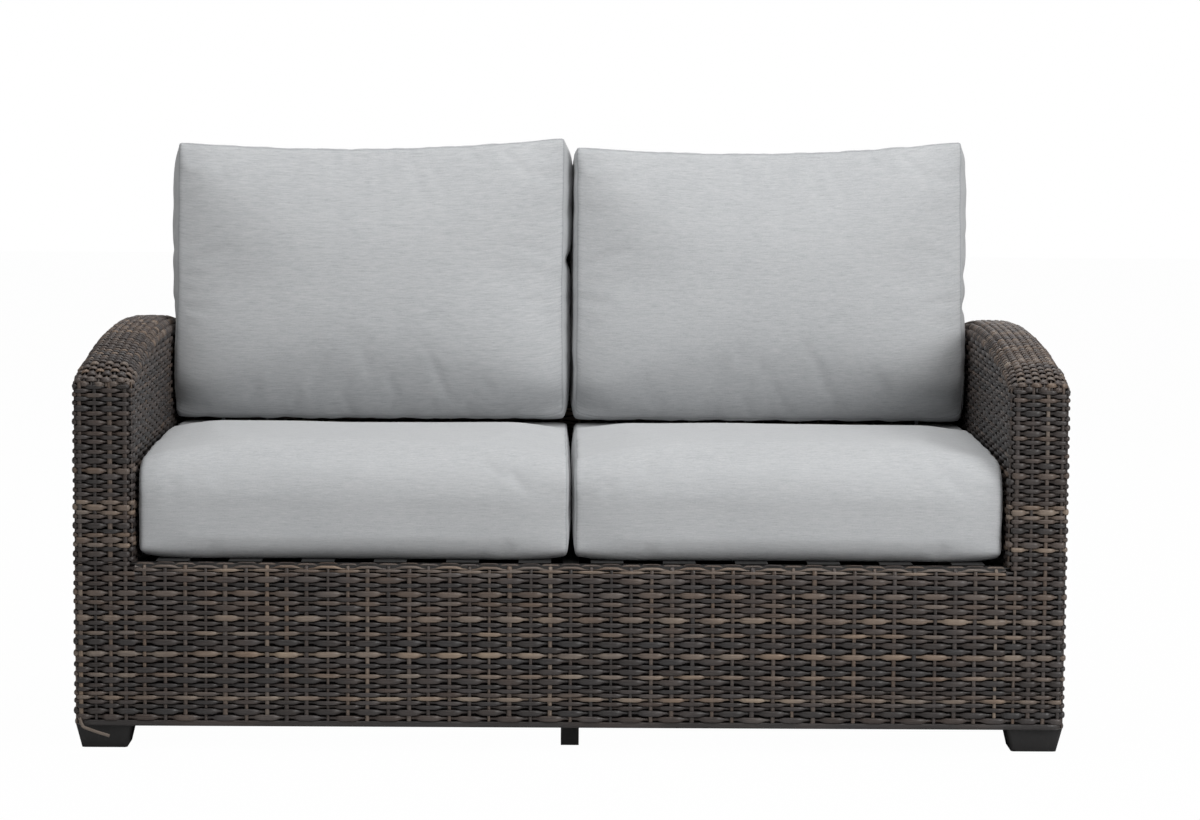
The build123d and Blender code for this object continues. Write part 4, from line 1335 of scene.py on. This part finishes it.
def swell(share, power):
    """1 in the middle and 0 at both edges, flatter in the middle at a higher power."""
    return 1.0 - np.abs(share) ** power


def box_skin(sizes):
    """The skin of an evenly divided box: places from -1 to 1 along each axis, and faces."""
    counts = [max(int(round(size / CELL)), 2) for size in sizes]
    coords, quads = [], []
    first = 0
    for axis in range(3):
        u_axis, v_axis = (axis + 1) % 3, (axis + 2) % 3
        us, vs = np.meshgrid(np.arange(counts[u_axis] + 1), np.arange(counts[v_axis] + 1), indexing="ij")
        spot = np.arange(us.size).reshape(us.shape)
        loop = np.stack([spot[:-1, :-1], spot[1:, :-1], spot[1:, 1:], spot[:-1, 1:]], -1).reshape(-1, 4)
        for end in (0, counts[axis]):
            cell = np.zeros((us.size, 3), int)
            cell[:, axis] = end
            cell[:, u_axis] = us.ravel()
            cell[:, v_axis] = vs.ravel()
            coords.append(cell)
            quads.append((loop if end else loop[:, ::-1]) + first)
            first += us.size
    cells, inverse = np.unique(np.concatenate(coords), axis=0, return_inverse=True)
    faces = inverse.reshape(-1)[np.concatenate(quads)]
    return 2.0 * cells / np.array(counts) - 1.0, faces


def rounded(p, q, low, high, radii):
    """Pulls points of a rectangle in to its rounded corners, and gives their outward way.

    p and q run from low to high, and radii are those of the corners
    (low p, low q), (low p, high q), (high p, low q), (high p, high q).
    """
    middle = ((low[0] + high[0]) / 2, (low[1] + high[1]) / 2)
    p, q = p.copy(), q.copy()
    away = np.stack([(p - middle[0]) / (high[0] - middle[0]), (q - middle[1]) / (high[1] - middle[1])], -1)
    flat = np.abs(away) >= np.abs(away).max(axis=1, keepdims=True) - 1e-9
    ways = unit(np.where(flat, np.sign(away), 0.0) + 1e-9)
    corners = ((low[0], low[1]), (low[0], high[1]), (high[0], low[1]), (high[0], high[1]))
    for (corner_p, corner_q), radius in zip(corners, radii):
        sign_p = 1.0 if corner_p > middle[0] else -1.0
        sign_q = 1.0 if corner_q > middle[1] else -1.0
        centre_p = corner_p - sign_p * radius
        centre_q = corner_q - sign_q * radius
        over_p = (p - centre_p) * sign_p
        over_q = (q - centre_q) * sign_q
        near = (over_p > 0) & (over_q > 0)
        long = np.hypot(over_p, over_q)
        pull = np.where(near, np.maximum(over_p, over_q) / np.maximum(long, 1e-9), 1.0)
        p = np.where(near, centre_p + (p - centre_p) * pull, p)
        q = np.where(near, centre_q + (q - centre_q) * pull, q)
        turned = np.stack([sign_p * over_p, sign_q * over_q], -1) / np.maximum(long, 1e-9)[:, None]
        ways[near] = turned[near]
    return p, q, ways


def seat_shape(skin, middle):
    """A seat cushion: one panel wraps over its front, between two boxed sides."""
    u, v, w = skin.T
    low = (SEAT_FRONT + SEAT_SEAM_INSET, SEAT_LOW + SEAT_SEAM_INSET)
    high = (SEAT_REAR - SEAT_SEAM_INSET, SEAT_SHOULDER)
    y = low[0] + (high[0] - low[0]) * (v + 1) / 2
    z = low[1] + (high[1] - low[1]) * (w + 1) / 2
    radii = (SEAT_CHIN_RADIUS, SEAT_NOSE_RADIUS, SEAT_CHIN_RADIUS / 2, SEAT_REAR_RADIUS)
    y, z, ways = rounded(y, z, low, high, radii)
    on_side = np.abs(u) > RIM
    full = swell(u, 7.0) * SEAT_SEAM_INSET
    crown = swell(v, 2.0) * (SEAT_SIDE_CROWN + SEAT_CROWN * swell(u, 6.0))
    top = np.clip(w, 0.0, 1.0) ** 6 * crown
    y = y + ways[:, 0] * full
    z = z + ways[:, 1] * full + top
    forward = np.clip(1.0 - (v + 1.0) / SEAT_CHIN_DEPTH, 0.0, 1.0)
    under = np.clip(1.0 - (w + 1.0) / SEAT_CHIN_HEIGHT, 0.0, 1.0)
    z = z + SEAT_CHIN_LIFT * (forward * under)
    draw = 1.0 - SEAT_DRAW * swell(v, 2.0)
    x = u * SEAT_SEAM_HALF * draw
    x = x + np.where(on_side, np.sign(u) * SEAT_SIDE_SWELL * swell(v, 6.0) * swell(w, 3.0), 0.0)
    return np.stack([middle + x, y, z], -1)


def back_shape(skin, middle, ears, pinches):
    """A back cushion: two crowned panels with a strip sewn all round between them."""
    u, v, w = skin.T
    forward = BACK_SEAM_FRONT + (BACK_SEAM_REAR - BACK_SEAM_FRONT) * (v + 1) / 2
    ear = ears[0] + (ears[1] - ears[0]) * (u + 1) / 2
    top = ear - (BACK_SEAM_FRONT - forward) * math.sin(RECLINE) - BACK_SAG * swell(u, 2.0)
    base = BACK_LOW - BACK_SINK * np.clip((BACK_SINK_FROM - v) / (1.0 + BACK_SINK_FROM), 0.0, 1.0)
    base = base + (BACK_LIP + BACK_CORNER_LIFT * np.abs(u) ** 16) * np.clip(-v, 0.0, 1.0) ** 2
    z = base + (top - base) * (w + 1) / 2
    front_share = np.clip(-v, 0.0, 1.0) ** 6
    rear_share = np.clip(v, 0.0, 1.0) ** 6
    shoulder = BACK_SHOULDER_CROWN * swell(u, 9.0) * swell(w, 7.0)
    belly = BACK_BELLY * np.exp(-(((w - BACK_BELLY_AT) / BACK_BELLY_REACH) ** 2)) * swell(u, 6.0)
    crown = shoulder + belly + BACK_MIDDLE_CROWN * swell(u, 2.0) * swell(w, 2.0)
    tuck = BACK_TUCK * np.exp(-(((w + 1.0) / BACK_TUCK_REACH) ** 2)) * np.clip(-v, 0.0, 1.0)
    rear_crown = rear_share * BACK_REAR_CROWN * swell(u, 3.0) * swell(w, 3.0)
    crown_at = forward - tuck + front_share * crown - rear_crown
    fullness = BACK_GUSSET_LOW_SHARE + (1.0 - BACK_GUSSET_LOW_SHARE) * (w + 1) / 2
    gusset = BACK_GUSSET_SWELL * fullness * swell(v, 2.4) * swell(w, 10.0)
    for way, height, depth, reach in pinches:
        near = np.exp(-(((z - height) / reach) ** 2)) * (np.sign(u) == way)
        gusset = gusset * (1.0 - depth * near)
    x = u * BACK_SEAM_HALF * (1.0 - BACK_DRAW * swell(w, 2.0))
    x = x + np.where(np.abs(u) > RIM, np.sign(u) * gusset, 0.0)
    z = z + np.clip(w, 0.0, 1.0) ** 12 * swell(v, 2.0) * swell(u, 6.0) * BACK_TOP_CROWN
    y = back_face_y(z) - crown_at / math.cos(RECLINE)
    return np.stack([middle + x, y, z], -1)


def inflate(obj, seam, room, excess):
    """Lets the cover swell under pressure, with its seams drawn up, within its room."""
    start = np.array([vertex.co for vertex in obj.data.vertices])
    group = obj.vertex_groups.new(name="seam")
    group.add(np.nonzero(seam > 0)[0].tolist(), SEAM_HOLD, "REPLACE")
    cloth = obj.modifiers.new("cover", "CLOTH")
    settings = cloth.settings
    for key, value in COVER_CLOTH.items():
        setattr(settings, key, value)
    settings.vertex_group_mass = "seam"
    settings.shrink_min = -excess
    settings.effector_weights.gravity = 0.0
    cloth.collision_settings.use_collision = False
    cloth.collision_settings.use_self_collision = False
    scene = bpy.context.scene
    for step in range(1, SIM_FRAMES + 1):
        scene.frame_set(step)
    graph = bpy.context.evaluated_depsgraph_get()
    swollen = bpy.data.meshes.new_from_object(obj.evaluated_get(graph), depsgraph=graph)
    moved = np.array([vertex.co for vertex in swollen.vertices])
    obj.modifiers.clear()
    obj.vertex_groups.clear()
    bpy.data.meshes.remove(swollen)
    scene.frame_set(1)
    shift = moved - start
    length = np.linalg.norm(shift, axis=1, keepdims=True)
    shift *= np.minimum(1.0, SIM_CAP * MM / np.maximum(length, 1e-9))
    return room(start + shift)


def sewn(name, skin, faces, points, seam_edges, room, puckers, excess):
    """A cushion cover: inflated, subdivided with sharp seams, then drawn in along them."""
    mesh = bpy.data.meshes.new(name)
    mesh.from_pydata(metres(points).tolist(), [], faces.tolist())
    piece = placed(name, mesh)
    ends = np.zeros(len(mesh.edges) * 2, int)
    mesh.edges.foreach_get("vertices", ends)
    sharp = seam_edges(skin, ends.reshape(-1, 2))
    seam = np.zeros(len(points))
    seam[ends.reshape(-1, 2)[sharp].ravel()] = 1.0
    moved = inflate(piece, seam, room, excess)
    mesh.vertices.foreach_set("co", moved.astype(np.float32).ravel())
    crease = mesh.attributes.new("crease_edge", "FLOAT", "EDGE")
    crease.data.foreach_set("value", sharp.astype(np.float32) * SEAM_CREASE)
    weft = mesh.attributes.new("weft", "FLOAT_VECTOR", "POINT")
    flat = metres(skin * np.ptp(points, axis=0) / 2)
    weft.data.foreach_set("vector", flat.astype(np.float32).ravel())
    line = mesh.attributes.new("seam", "FLOAT", "POINT")
    line.data.foreach_set("value", seam.astype(np.float32))
    mesh.shade_smooth()
    finer = piece.modifiers.new("finer", "SUBSURF")
    finer.levels = finer.render_levels = 1
    graph = bpy.context.evaluated_depsgraph_get()
    fine = bpy.data.meshes.new_from_object(
        piece.evaluated_get(graph), preserve_all_data_layers=True, depsgraph=graph
    )
    piece.modifiers.clear()
    piece.data = fine
    bpy.data.meshes.remove(mesh)
    fine.name = name
    fine.materials.append(CLOTH)
    draw_seams(fine, puckers)
    for layer in ("crease_edge", "sharp_face"):
        if fine.attributes.get(layer):
            fine.attributes.remove(fine.attributes[layer])
    fine.shade_smooth()
    return piece


def draw_seams(mesh, puckers):
    """Sinks the seams and gathers small puckers that run off square to them."""
    count = len(mesh.vertices)
    points = np.zeros(count * 3)
    mesh.vertices.foreach_get("co", points)
    points = points.reshape(-1, 3)
    normals = np.zeros(count * 3)
    mesh.vertices.foreach_get("normal", normals)
    normals = normals.reshape(-1, 3)
    seam = np.zeros(count)
    mesh.attributes["seam"].data.foreach_get("value", seam)
    shift = -SEAM_GROOVE * (seam > 0.9) * MM
    shift = shift + puckers(points / MM) * MM
    points = points + normals * shift[:, None]
    mesh.vertices.foreach_set("co", points.astype(np.float32).ravel())
    mesh.update()


def ripple(places, wavelength, seed):
    """Smooth noise along a line, between about -1 and 1."""
    steps = places / wavelength
    low = math.floor(float(steps.min())) - 1
    high = math.ceil(float(steps.max())) + 2
    knots = np.arange(low, high + 1)
    heights = np.random.default_rng(seed).uniform(-1.0, 1.0, len(knots))
    index = np.clip(np.floor(steps).astype(int) - low, 0, len(knots) - 2)
    share = steps - np.floor(steps)
    share = share * share * (3.0 - 2.0 * share)
    return heights[index] * (1.0 - share) + heights[index + 1] * share


def seat_seams(skin, ends):
    """The two loops where the sides meet the panel that wraps over the front."""
    on_side = np.abs(skin[:, 0]) > RIM
    on_wrap = (np.abs(skin[:, 1]) > RIM) | (np.abs(skin[:, 2]) > RIM)
    both = on_side & on_wrap
    return both[ends[:, 0]] & both[ends[:, 1]]


def back_seams(skin, ends):
    """The loops round the front panel and the rear panel."""
    found = np.zeros(len(ends), bool)
    for end in (-1.0, 1.0):
        on_panel = np.abs(skin[:, 1] - end) < 1e-4
        on_rim = on_panel & ((np.abs(skin[:, 0]) > RIM) | (np.abs(skin[:, 2]) > RIM))
        found |= on_rim[ends[:, 0]] & on_rim[ends[:, 1]]
    return found


def make_seat_cushion(name, side, seed):
    """A seat cushion, kept within its room and gathered along its seams."""
    skin, faces = box_skin((2 * SEAT_SEAM_HALF, SEAT_REAR - SEAT_FRONT, SEAT_SHOULDER - SEAT_LOW))
    middle = side * SEAT_CENTRE
    points = seat_shape(skin, middle)

    def room(places):
        kept = places.copy()
        kept[:, 0] = np.clip(kept[:, 0], (middle - SEAT_HALF) * MM, (middle + SEAT_HALF) * MM)
        kept[:, 1] = np.clip(kept[:, 1], (SEAT_FRONT - SEAT_FRONT_SWELL) * MM, SEAT_REAR * MM)
        ys = kept[:, 1] / MM
        pressed = BACK_LOW - SOFT_GAP - BACK_SINK
        share = np.clip((ys - SEAT_LIMIT_FROM) / (SEAT_LIMIT_TO - SEAT_LIMIT_FROM), 0.0, 1.0)
        lid = SEAT_HIGH + (pressed - SEAT_HIGH) * share * share * (3.0 - 2.0 * share)
        sole = SEAT_LOW + SEAT_CHIN_LIFT * np.clip(1.0 - (ys - SEAT_FRONT) / SEAT_CHIN_RUN, 0.0, 1.0)
        kept[:, 2] = np.clip(kept[:, 2], sole * MM, lid * MM)
        return kept

    def puckers(places):
        x, y, z = places.T
        gap = SEAT_SEAM_HALF - np.abs(x - middle)
        near = np.exp(-np.maximum(gap, 0.0) / PUCKER_REACH)
        above = np.clip((z - SEAT_LOW - CALM_HEIGHT) / SEAT_CALM_FADE, 0.0, 1.0)
        right, left = (ripple(y - z, SEAT_PUCKER_PITCH, seed + step) for step in (0, 1))
        wave = np.where(x > middle, right, left)
        slow = ripple(x + 0.35 * y, SEAT_WAVE_PITCH, seed + 2) * SEAT_WAVE_HEIGHT
        return (wave * near * PUCKER_HEIGHT + slow * (1.0 - near)) * above

    piece = sewn(f"{name}_seat_cushion", skin, faces, points, seat_seams, room, puckers, SEAT_EXCESS)
    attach(piece, f"{name}_seat_cushion")
    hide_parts(f"{name}_seat_cushion_cover", f"{name}_seat_foam_core")
    return piece


def make_back_cushion(name, side, seed, ears, pinches):
    """A back cushion: ears are the heights of its corners, left and right."""
    skin, faces = box_skin((2 * BACK_SEAM_HALF, BACK_SEAM_FRONT - BACK_SEAM_REAR, BACK_EAR_TOP - BACK_LOW))
    middle = BACK_CENTRE[name]
    points = back_shape(skin, middle, ears, pinches)

    def room(places):
        kept = places.copy()
        ys, zs = kept[:, 1] / MM, kept[:, 2] / MM
        above = np.clip((zs - arch(ys)) / BACK_OVER_RISE, 0.0, 1.0)
        outer = side * (INNER_HALF - BACK_SIDE_GAP + BACK_OVERHANG * above) * MM
        turn = np.sin((kept[:, 1] - back_face_y(kept[:, 2] / MM) * MM) / (BACK_CONTACT_WAVE * 10.0 * MM))
        inner = (side * BACK_CONTACT_GAP / 2 + BACK_CONTACT_WAVE * turn) * MM
        kept[:, 0] = np.clip(kept[:, 0], np.minimum(inner, outer), np.maximum(inner, outer))
        lowest = BACK_LOW - BACK_SINK * np.clip((BACK_LOW_REAR - ys) / BACK_LOW_DEPTH, 0.0, 1.0)
        lowest = lowest + BACK_ZIP_RELIEF * np.clip((ys - BACK_CALM_FROM) / 10.0, 0.0, 1.0)
        kept[:, 2] = np.maximum(kept[:, 2], lowest * MM)
        rear = (back_face_y(kept[:, 2] / MM) - 1.0) * MM
        kept[:, 1] = np.minimum(kept[:, 1], rear)
        return kept

    def puckers(places):
        x, y, z = places.T
        side_gap = BACK_SEAM_HALF - np.abs(x - middle)
        end_gap = np.minimum(BACK_EAR_TOP - z, z - BACK_LOW)
        near_side = np.exp(-np.maximum(side_gap, 0.0) / PUCKER_REACH)
        near_end = np.exp(-np.maximum(end_gap, 0.0) / PUCKER_REACH)
        end_wave = ripple(x, BACK_END_PUCKER_PITCH, seed + 1)
        wave = ripple(z, BACK_PUCKER_PITCH, seed) * near_side + end_wave * near_end * (1.0 - near_side)
        slow = ripple(z + 0.3 * x, BACK_WAVE_PITCH, seed + 2) * BACK_WAVE_HEIGHT
        under = (z - BACK_LOW - CALM_HEIGHT) / BACK_CALM_FADE
        calm = np.maximum(under, (BACK_CALM_FROM - y) / BACK_CALM_DEPTH)
        gathered = wave * PUCKER_HEIGHT + slow * (1.0 - near_side) * (1.0 - near_end)
        return gathered * np.clip(calm, 0.0, 1.0)

    piece = sewn(f"{name}_back_cushion", skin, faces, points, back_seams, room, puckers, BACK_EXCESS)
    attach(piece, f"{name}_back_cushion")
    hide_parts(f"{name}_back_cushion_cover", f"{name}_back_fibre_core")
    return piece


def box_mm(node):
    """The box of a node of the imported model, in millimetres."""
    return [metre / MM for metre in (*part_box(node)[0], *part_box(node)[1])]


SEAT_BOX = box_mm("right_seat_cushion_cover")
BACK_BOX = box_mm("right_back_cushion_cover")
SEAT_FRONT, SEAT_LOW = SEAT_BOX[1], SEAT_BOX[2]
SEAT_REAR, SEAT_HIGH = SEAT_BOX[4], SEAT_BOX[5] + SEAT_TOP_SWELL
SEAT_HALF = (SEAT_BOX[3] - SEAT_BOX[0]) / 2
BACK_LOW = BACK_BOX[2]

make_seat_cushion("left", -1, 101)
make_seat_cushion("right", 1, 111)
make_back_cushion("left", -1, 121, (918.0, 930.0), ((1.0, 722.0, 0.8, 16.0), (-1.0, 500.0, 0.6, 24.0)))
make_back_cushion("right", 1, 131, (914.0, 928.0), ((1.0, 648.0, 0.8, 14.0), (1.0, 700.0, 0.4, 20.0)))


# Zip chains: a tape that lies on the cover, and teeth along it
ZIP_HALF_TAPE = 11.0
ZIP_TAPE_THICK = 0.5
ZIP_PITCH = 1.7
ZIP_TOOTH = (1.0, 3.0, 1.1)
ZIP_TOOTH_STAGGER = 1.1
ZIP_RUN = 524.0
ZIP_START = 596.0
ZIP_ROWS = 80
ZIP_TAPE_SHARES = (-1.0, -0.3, 0.3, 1.0)
ZIP_TOOTH_LIFT = 0.1
FAR_OUT = 1000.0


def tooth_tree():
    """Sets a tooth on each point, turned the way that the chain runs."""
    sockets = (
        ("Places", "NodeSocketGeometry"),
        ("Tooth Size", "NodeSocketVector"),
        ("Tooth Finish", "NodeSocketMaterial"),
    )
    tree, given = open_tree("zip teeth", sockets, "Teeth")
    tooth = tree.node("GeometryNodeMeshCube", {}, {"Size": given["Tooth Size"]})
    points = tree.node("GeometryNodeMeshToPoints", {}, {"Mesh": given["Places"]})
    teeth = tree.node("GeometryNodeInstanceOnPoints", {}, {"Points": points, "Instance": tooth})
    made = tree.node("GeometryNodeRealizeInstances", {}, [teeth])
    made = tree.node("GeometryNodeSetMaterial", {}, {"Geometry": made, "Material": given["Tooth Finish"]})
    return closed_tree(tree, made)


TOOTH_TREE = tooth_tree()


def zip_chain(name, cushion, body, side, across_axis, across_at, out):
    """A closed zip along a cushion's hidden edge, from near its outer end inward."""
    cover = BVHTree.FromPolygons(
        [vertex.co for vertex in cushion.data.vertices],
        [tuple(face.vertices) for face in cushion.data.polygons],
    )
    out = np.array(out, float)
    xs = side * np.linspace(ZIP_START, ZIP_START - ZIP_RUN, ZIP_ROWS)

    def on_cover(x, across):
        spot = np.zeros(3)
        spot[0] = x
        spot[across_axis] = across_at + across
        start = Vector(metres(spot + out * FAR_OUT))
        hit = cover.ray_cast(start, Vector(-out))[0]
        return np.array(hit) / MM

    tape = bmesh.new()
    rails = []
    for x in xs:
        row = [on_cover(x, share * ZIP_HALF_TAPE) for share in ZIP_TAPE_SHARES]
        low = [tape.verts.new(metres(spot - out * ZIP_TAPE_THICK)) for spot in row]
        high = [tape.verts.new(metres(spot + out * ZIP_TAPE_THICK)) for spot in row]
        rails.append(low + high[::-1])
    for before, after in zip(rails, rails[1:]):
        for index in range(len(before)):
            beyond = (index + 1) % len(before)
            tape.faces.new((before[index], before[beyond], after[beyond], after[index]))
    tape.faces.new(rails[0])
    tape.faces.new(rails[-1][::-1])
    bmesh.ops.recalc_face_normals(tape, faces=tape.faces)
    mesh = bpy.data.meshes.new(f"{name}_tape")
    tape.to_mesh(mesh)
    tape.free()
    mesh.materials.append(SEAM)
    band = placed(f"{name}_tape", mesh)
    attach(band, body)

    count = int(ZIP_RUN / ZIP_PITCH)
    places = []
    for number in range(count):
        x = side * (ZIP_START - number * ZIP_PITCH)
        stagger = ZIP_TOOTH_STAGGER * (1.0 if number % 2 else -1.0)
        row = int(round(number / count * (len(xs) - 1)))
        base = on_cover(xs[row], 0.0)
        spot = np.array([x, base[1], base[2]])
        spot[across_axis] = across_at + stagger
        places.append(spot + out * (ZIP_TAPE_THICK + ZIP_TOOTH_LIFT))
    dots = bpy.data.meshes.new(f"{name}_teeth")
    dots.from_pydata(metres(places).tolist(), [], [])
    teeth = placed(f"{name}_teeth", dots)
    size = np.zeros(3)
    size[0], size[across_axis] = ZIP_TOOTH[0], ZIP_TOOTH[1]
    size[3 - across_axis] = ZIP_TOOTH[2]
    values = {"Tooth Size": tuple(metres(size)), "Tooth Finish": ZIP_STEEL}
    plain_mesh(teeth, TOOTH_TREE, values)
    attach(teeth, body)


SEAT_ZIP_Z = 371.0
BACK_ZIP_Y = 250.0
for name, side in SIDES:
    seat = bpy.data.objects[f"{name}_seat_cushion"]
    back = bpy.data.objects[f"{name}_back_cushion"]
    zip_chain(f"{name}_seat_zip", seat, f"{name}_seat_cushion", side, 2, SEAT_ZIP_Z, (0.0, 1.0, 0.0))
    zip_chain(f"{name}_back_zip", back, f"{name}_back_cushion", side, 1, BACK_ZIP_Y, (0.0, 0.0, -1.0))


LOOSE_BEND = 6.0
LOOSE_SIZE = 0.62
LOOSE_TONE = 0.72


def make_loose_end():
    """The end of a strand that has come away under the left front corner."""
    weave = Weave("loose_strand_end", 71)
    corners = ((-752.0, 50.0), (-747.0, 36.0), (-728.0, 29.0), (-706.0, 22.0))
    line = Bend(corners, LOOSE_BEND)
    points = line.at(np.linspace(0.0, line.length, 24))[0]
    depth = np.full(len(points), FRONT - 1.5)
    spots = np.stack([points[:, 0], depth, points[:, 1]], -1)
    outs = np.broadcast_to(np.array([0.0, -1.0, 0.0]), spots.shape)
    weave.line(spots, outs, 0.0, 0.0, LOOSE_SIZE, LOOSE_TONE)
    weave.finish("frame", (), 8)


make_loose_end()


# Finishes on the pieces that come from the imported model
FINISHES = {
    "frame_tube": COATED,
    "foot_plastic": MOULDED,
    "webbing": WEBBING,
    "fastener_steel": STEEL,
    "zip_metal": ZIP_STEEL,
    "woven_strand": STRAND,
    "cushion_fabric": CLOTH,
    "cushion_fill": CLOTH,
}


def dress_nodes():
    """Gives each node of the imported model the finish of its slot."""
    for entry in frame["record"]["subparts"]:
        mesh = frame["nodes"][entry["node"]].data
        mesh.materials.clear()
        mesh.materials.append(FINISHES[entry["material_slot"]])


dress_nodes()


# Floor, light and camera
WHITE = (1.0, 1.0, 1.0, 1.0)
FLOOR_GREY = (0.7, 0.7, 0.7, 1.0)
FLOOR_REACH = 14.0
FLOOR_WHITENESS = 0.985
FLOOR_SHADE = 0.5
SHADE_SCALE = (1.3, 3.6, 0.0)
SHADE_PLACE = (0.0, -0.2, 0.0)
SKY_LEVEL = 0.24
CAMERA_LENS = 106.2
CAMERA_SENSOR = 36.0
CAMERA_REACH = 100.0
CAMERA_PLACE = (-0.0218, -5.7845, 1.0497)
CAMERA_PITCH = math.radians(5.546)
CAMERA_YAW = math.radians(0.688)
CAMERA_ROLL = math.radians(0.409)


def straight_view(tree):
    """1 where the camera looks straight at a surface, or through a clear one, and 0 elsewhere."""
    rays = tree.tree.nodes.new("ShaderNodeLightPath")
    seen = Wire(tree, rays.outputs["Is Camera Ray"]) + Wire(tree, rays.outputs["Is Transmission Ray"])
    return seen.clipped()


def make_floor():
    """A floor that looks white, with a soft shade under the seat."""
    mesh = bpy.data.meshes.new("floor")
    corners = [(x * FLOOR_REACH, y * FLOOR_REACH, 0.0) for x, y in ((-1, -1), (1, -1), (1, 1), (-1, 1))]
    mesh.from_pydata(corners, [], [(0, 1, 2, 3)])
    floor = placed("floor", mesh)
    material = bpy.data.materials.new("pale floor")
    material.use_nodes = True
    tree = Tree(material.node_tree)
    tree.tree.nodes.clear()
    seen = straight_view(tree)
    lit = tree.node("ShaderNodeBsdfDiffuse", {}, {"Color": FLOOR_GREY})
    white = tree.node("ShaderNodeEmission", {}, {"Color": WHITE, "Strength": 1.0})
    here = tree.node("ShaderNodeTexCoord", output="Object")
    values = {"Vector": here, "Scale": SHADE_SCALE, "Location": SHADE_PLACE}
    squeezed = tree.node("ShaderNodeMapping", {}, values)
    away = tree.node("ShaderNodeVectorMath", {"operation": "LENGTH"}, [squeezed], "Value")
    share = FLOOR_WHITENESS - ((1.0 - away) * 2.0).clipped() * FLOOR_SHADE
    mixed = tree.node("ShaderNodeMixShader", {}, [seen * share, lit, white])
    output = tree.tree.nodes.new("ShaderNodeOutputMaterial")
    tree.tree.links.new(mixed.socket, output.inputs["Surface"])
    mesh.materials.append(material)


def make_sky():
    """A white background that gives only a little light."""
    world = bpy.data.worlds.new("studio")
    bpy.context.scene.world = world
    world.use_nodes = True
    tree = Tree(world.node_tree)
    tree.tree.nodes.clear()
    seen = straight_view(tree)
    dim = tree.node("ShaderNodeBackground", {}, {"Color": WHITE, "Strength": SKY_LEVEL})
    white = tree.node("ShaderNodeBackground", {}, {"Color": WHITE, "Strength": 1.0})
    mixed = tree.node("ShaderNodeMixShader", {}, [seen, dim, white])
    output = tree.tree.nodes.new("ShaderNodeOutputWorld")
    tree.tree.links.new(mixed.socket, output.inputs["Surface"])


def make_lamp(name, where, aim, size, power):
    """A rectangular lamp at a place, turned to what it is aimed at."""
    data = bpy.data.lights.new(name, "AREA")
    data.shape = "RECTANGLE"
    data.size, data.size_y = size
    data.energy = power
    lamp = placed(name, data)
    lamp.location = where
    lamp.rotation_mode = "QUATERNION"
    lamp.rotation_quaternion = (Vector(aim) - Vector(where)).to_track_quat("-Z", "Y")


def make_camera():
    """The camera that was fitted to the photograph."""
    data = bpy.data.cameras.new("camera")
    data.lens = CAMERA_LENS
    data.sensor_width = CAMERA_SENSOR
    data.clip_end = CAMERA_REACH
    camera = placed("camera", data)
    pitch, yaw, roll = CAMERA_PITCH, CAMERA_YAW, CAMERA_ROLL
    ahead = Vector((math.sin(yaw) * math.cos(pitch), math.cos(yaw) * math.cos(pitch), -math.sin(pitch)))
    level = Vector((math.cos(yaw), -math.sin(yaw), 0.0))
    up = level.cross(ahead)
    across = level * math.cos(roll) + up * math.sin(roll)
    above = up * math.cos(roll) - level * math.sin(roll)
    turned = Matrix((across, above, -ahead)).transposed().to_4x4()
    camera.matrix_world = Matrix.Translation(CAMERA_PLACE) @ turned
    bpy.context.scene.camera = camera


make_floor()
make_sky()
make_lamp("overhead", where=(0.0, -0.6, 3.4), aim=(0.0, 0.0, 0.4), size=(3.4, 2.6), power=83.0)
make_lamp("front_left", where=(-2.9, -3.6, 2.1), aim=(0.0, -0.2, 0.45), size=(1.8, 2.2), power=8.0)
make_lamp("rear", where=(0.6, 3.6, 2.4), aim=(0.0, 0.3, 0.5), size=(2.6, 1.8), power=34.0)
make_lamp("front_right", where=(3.1, -3.3, 2.3), aim=(0.0, -0.2, 0.45), size=(1.8, 2.2), power=117.0)
make_camera()
bpy.context.scene.view_settings.view_transform = "Standard"
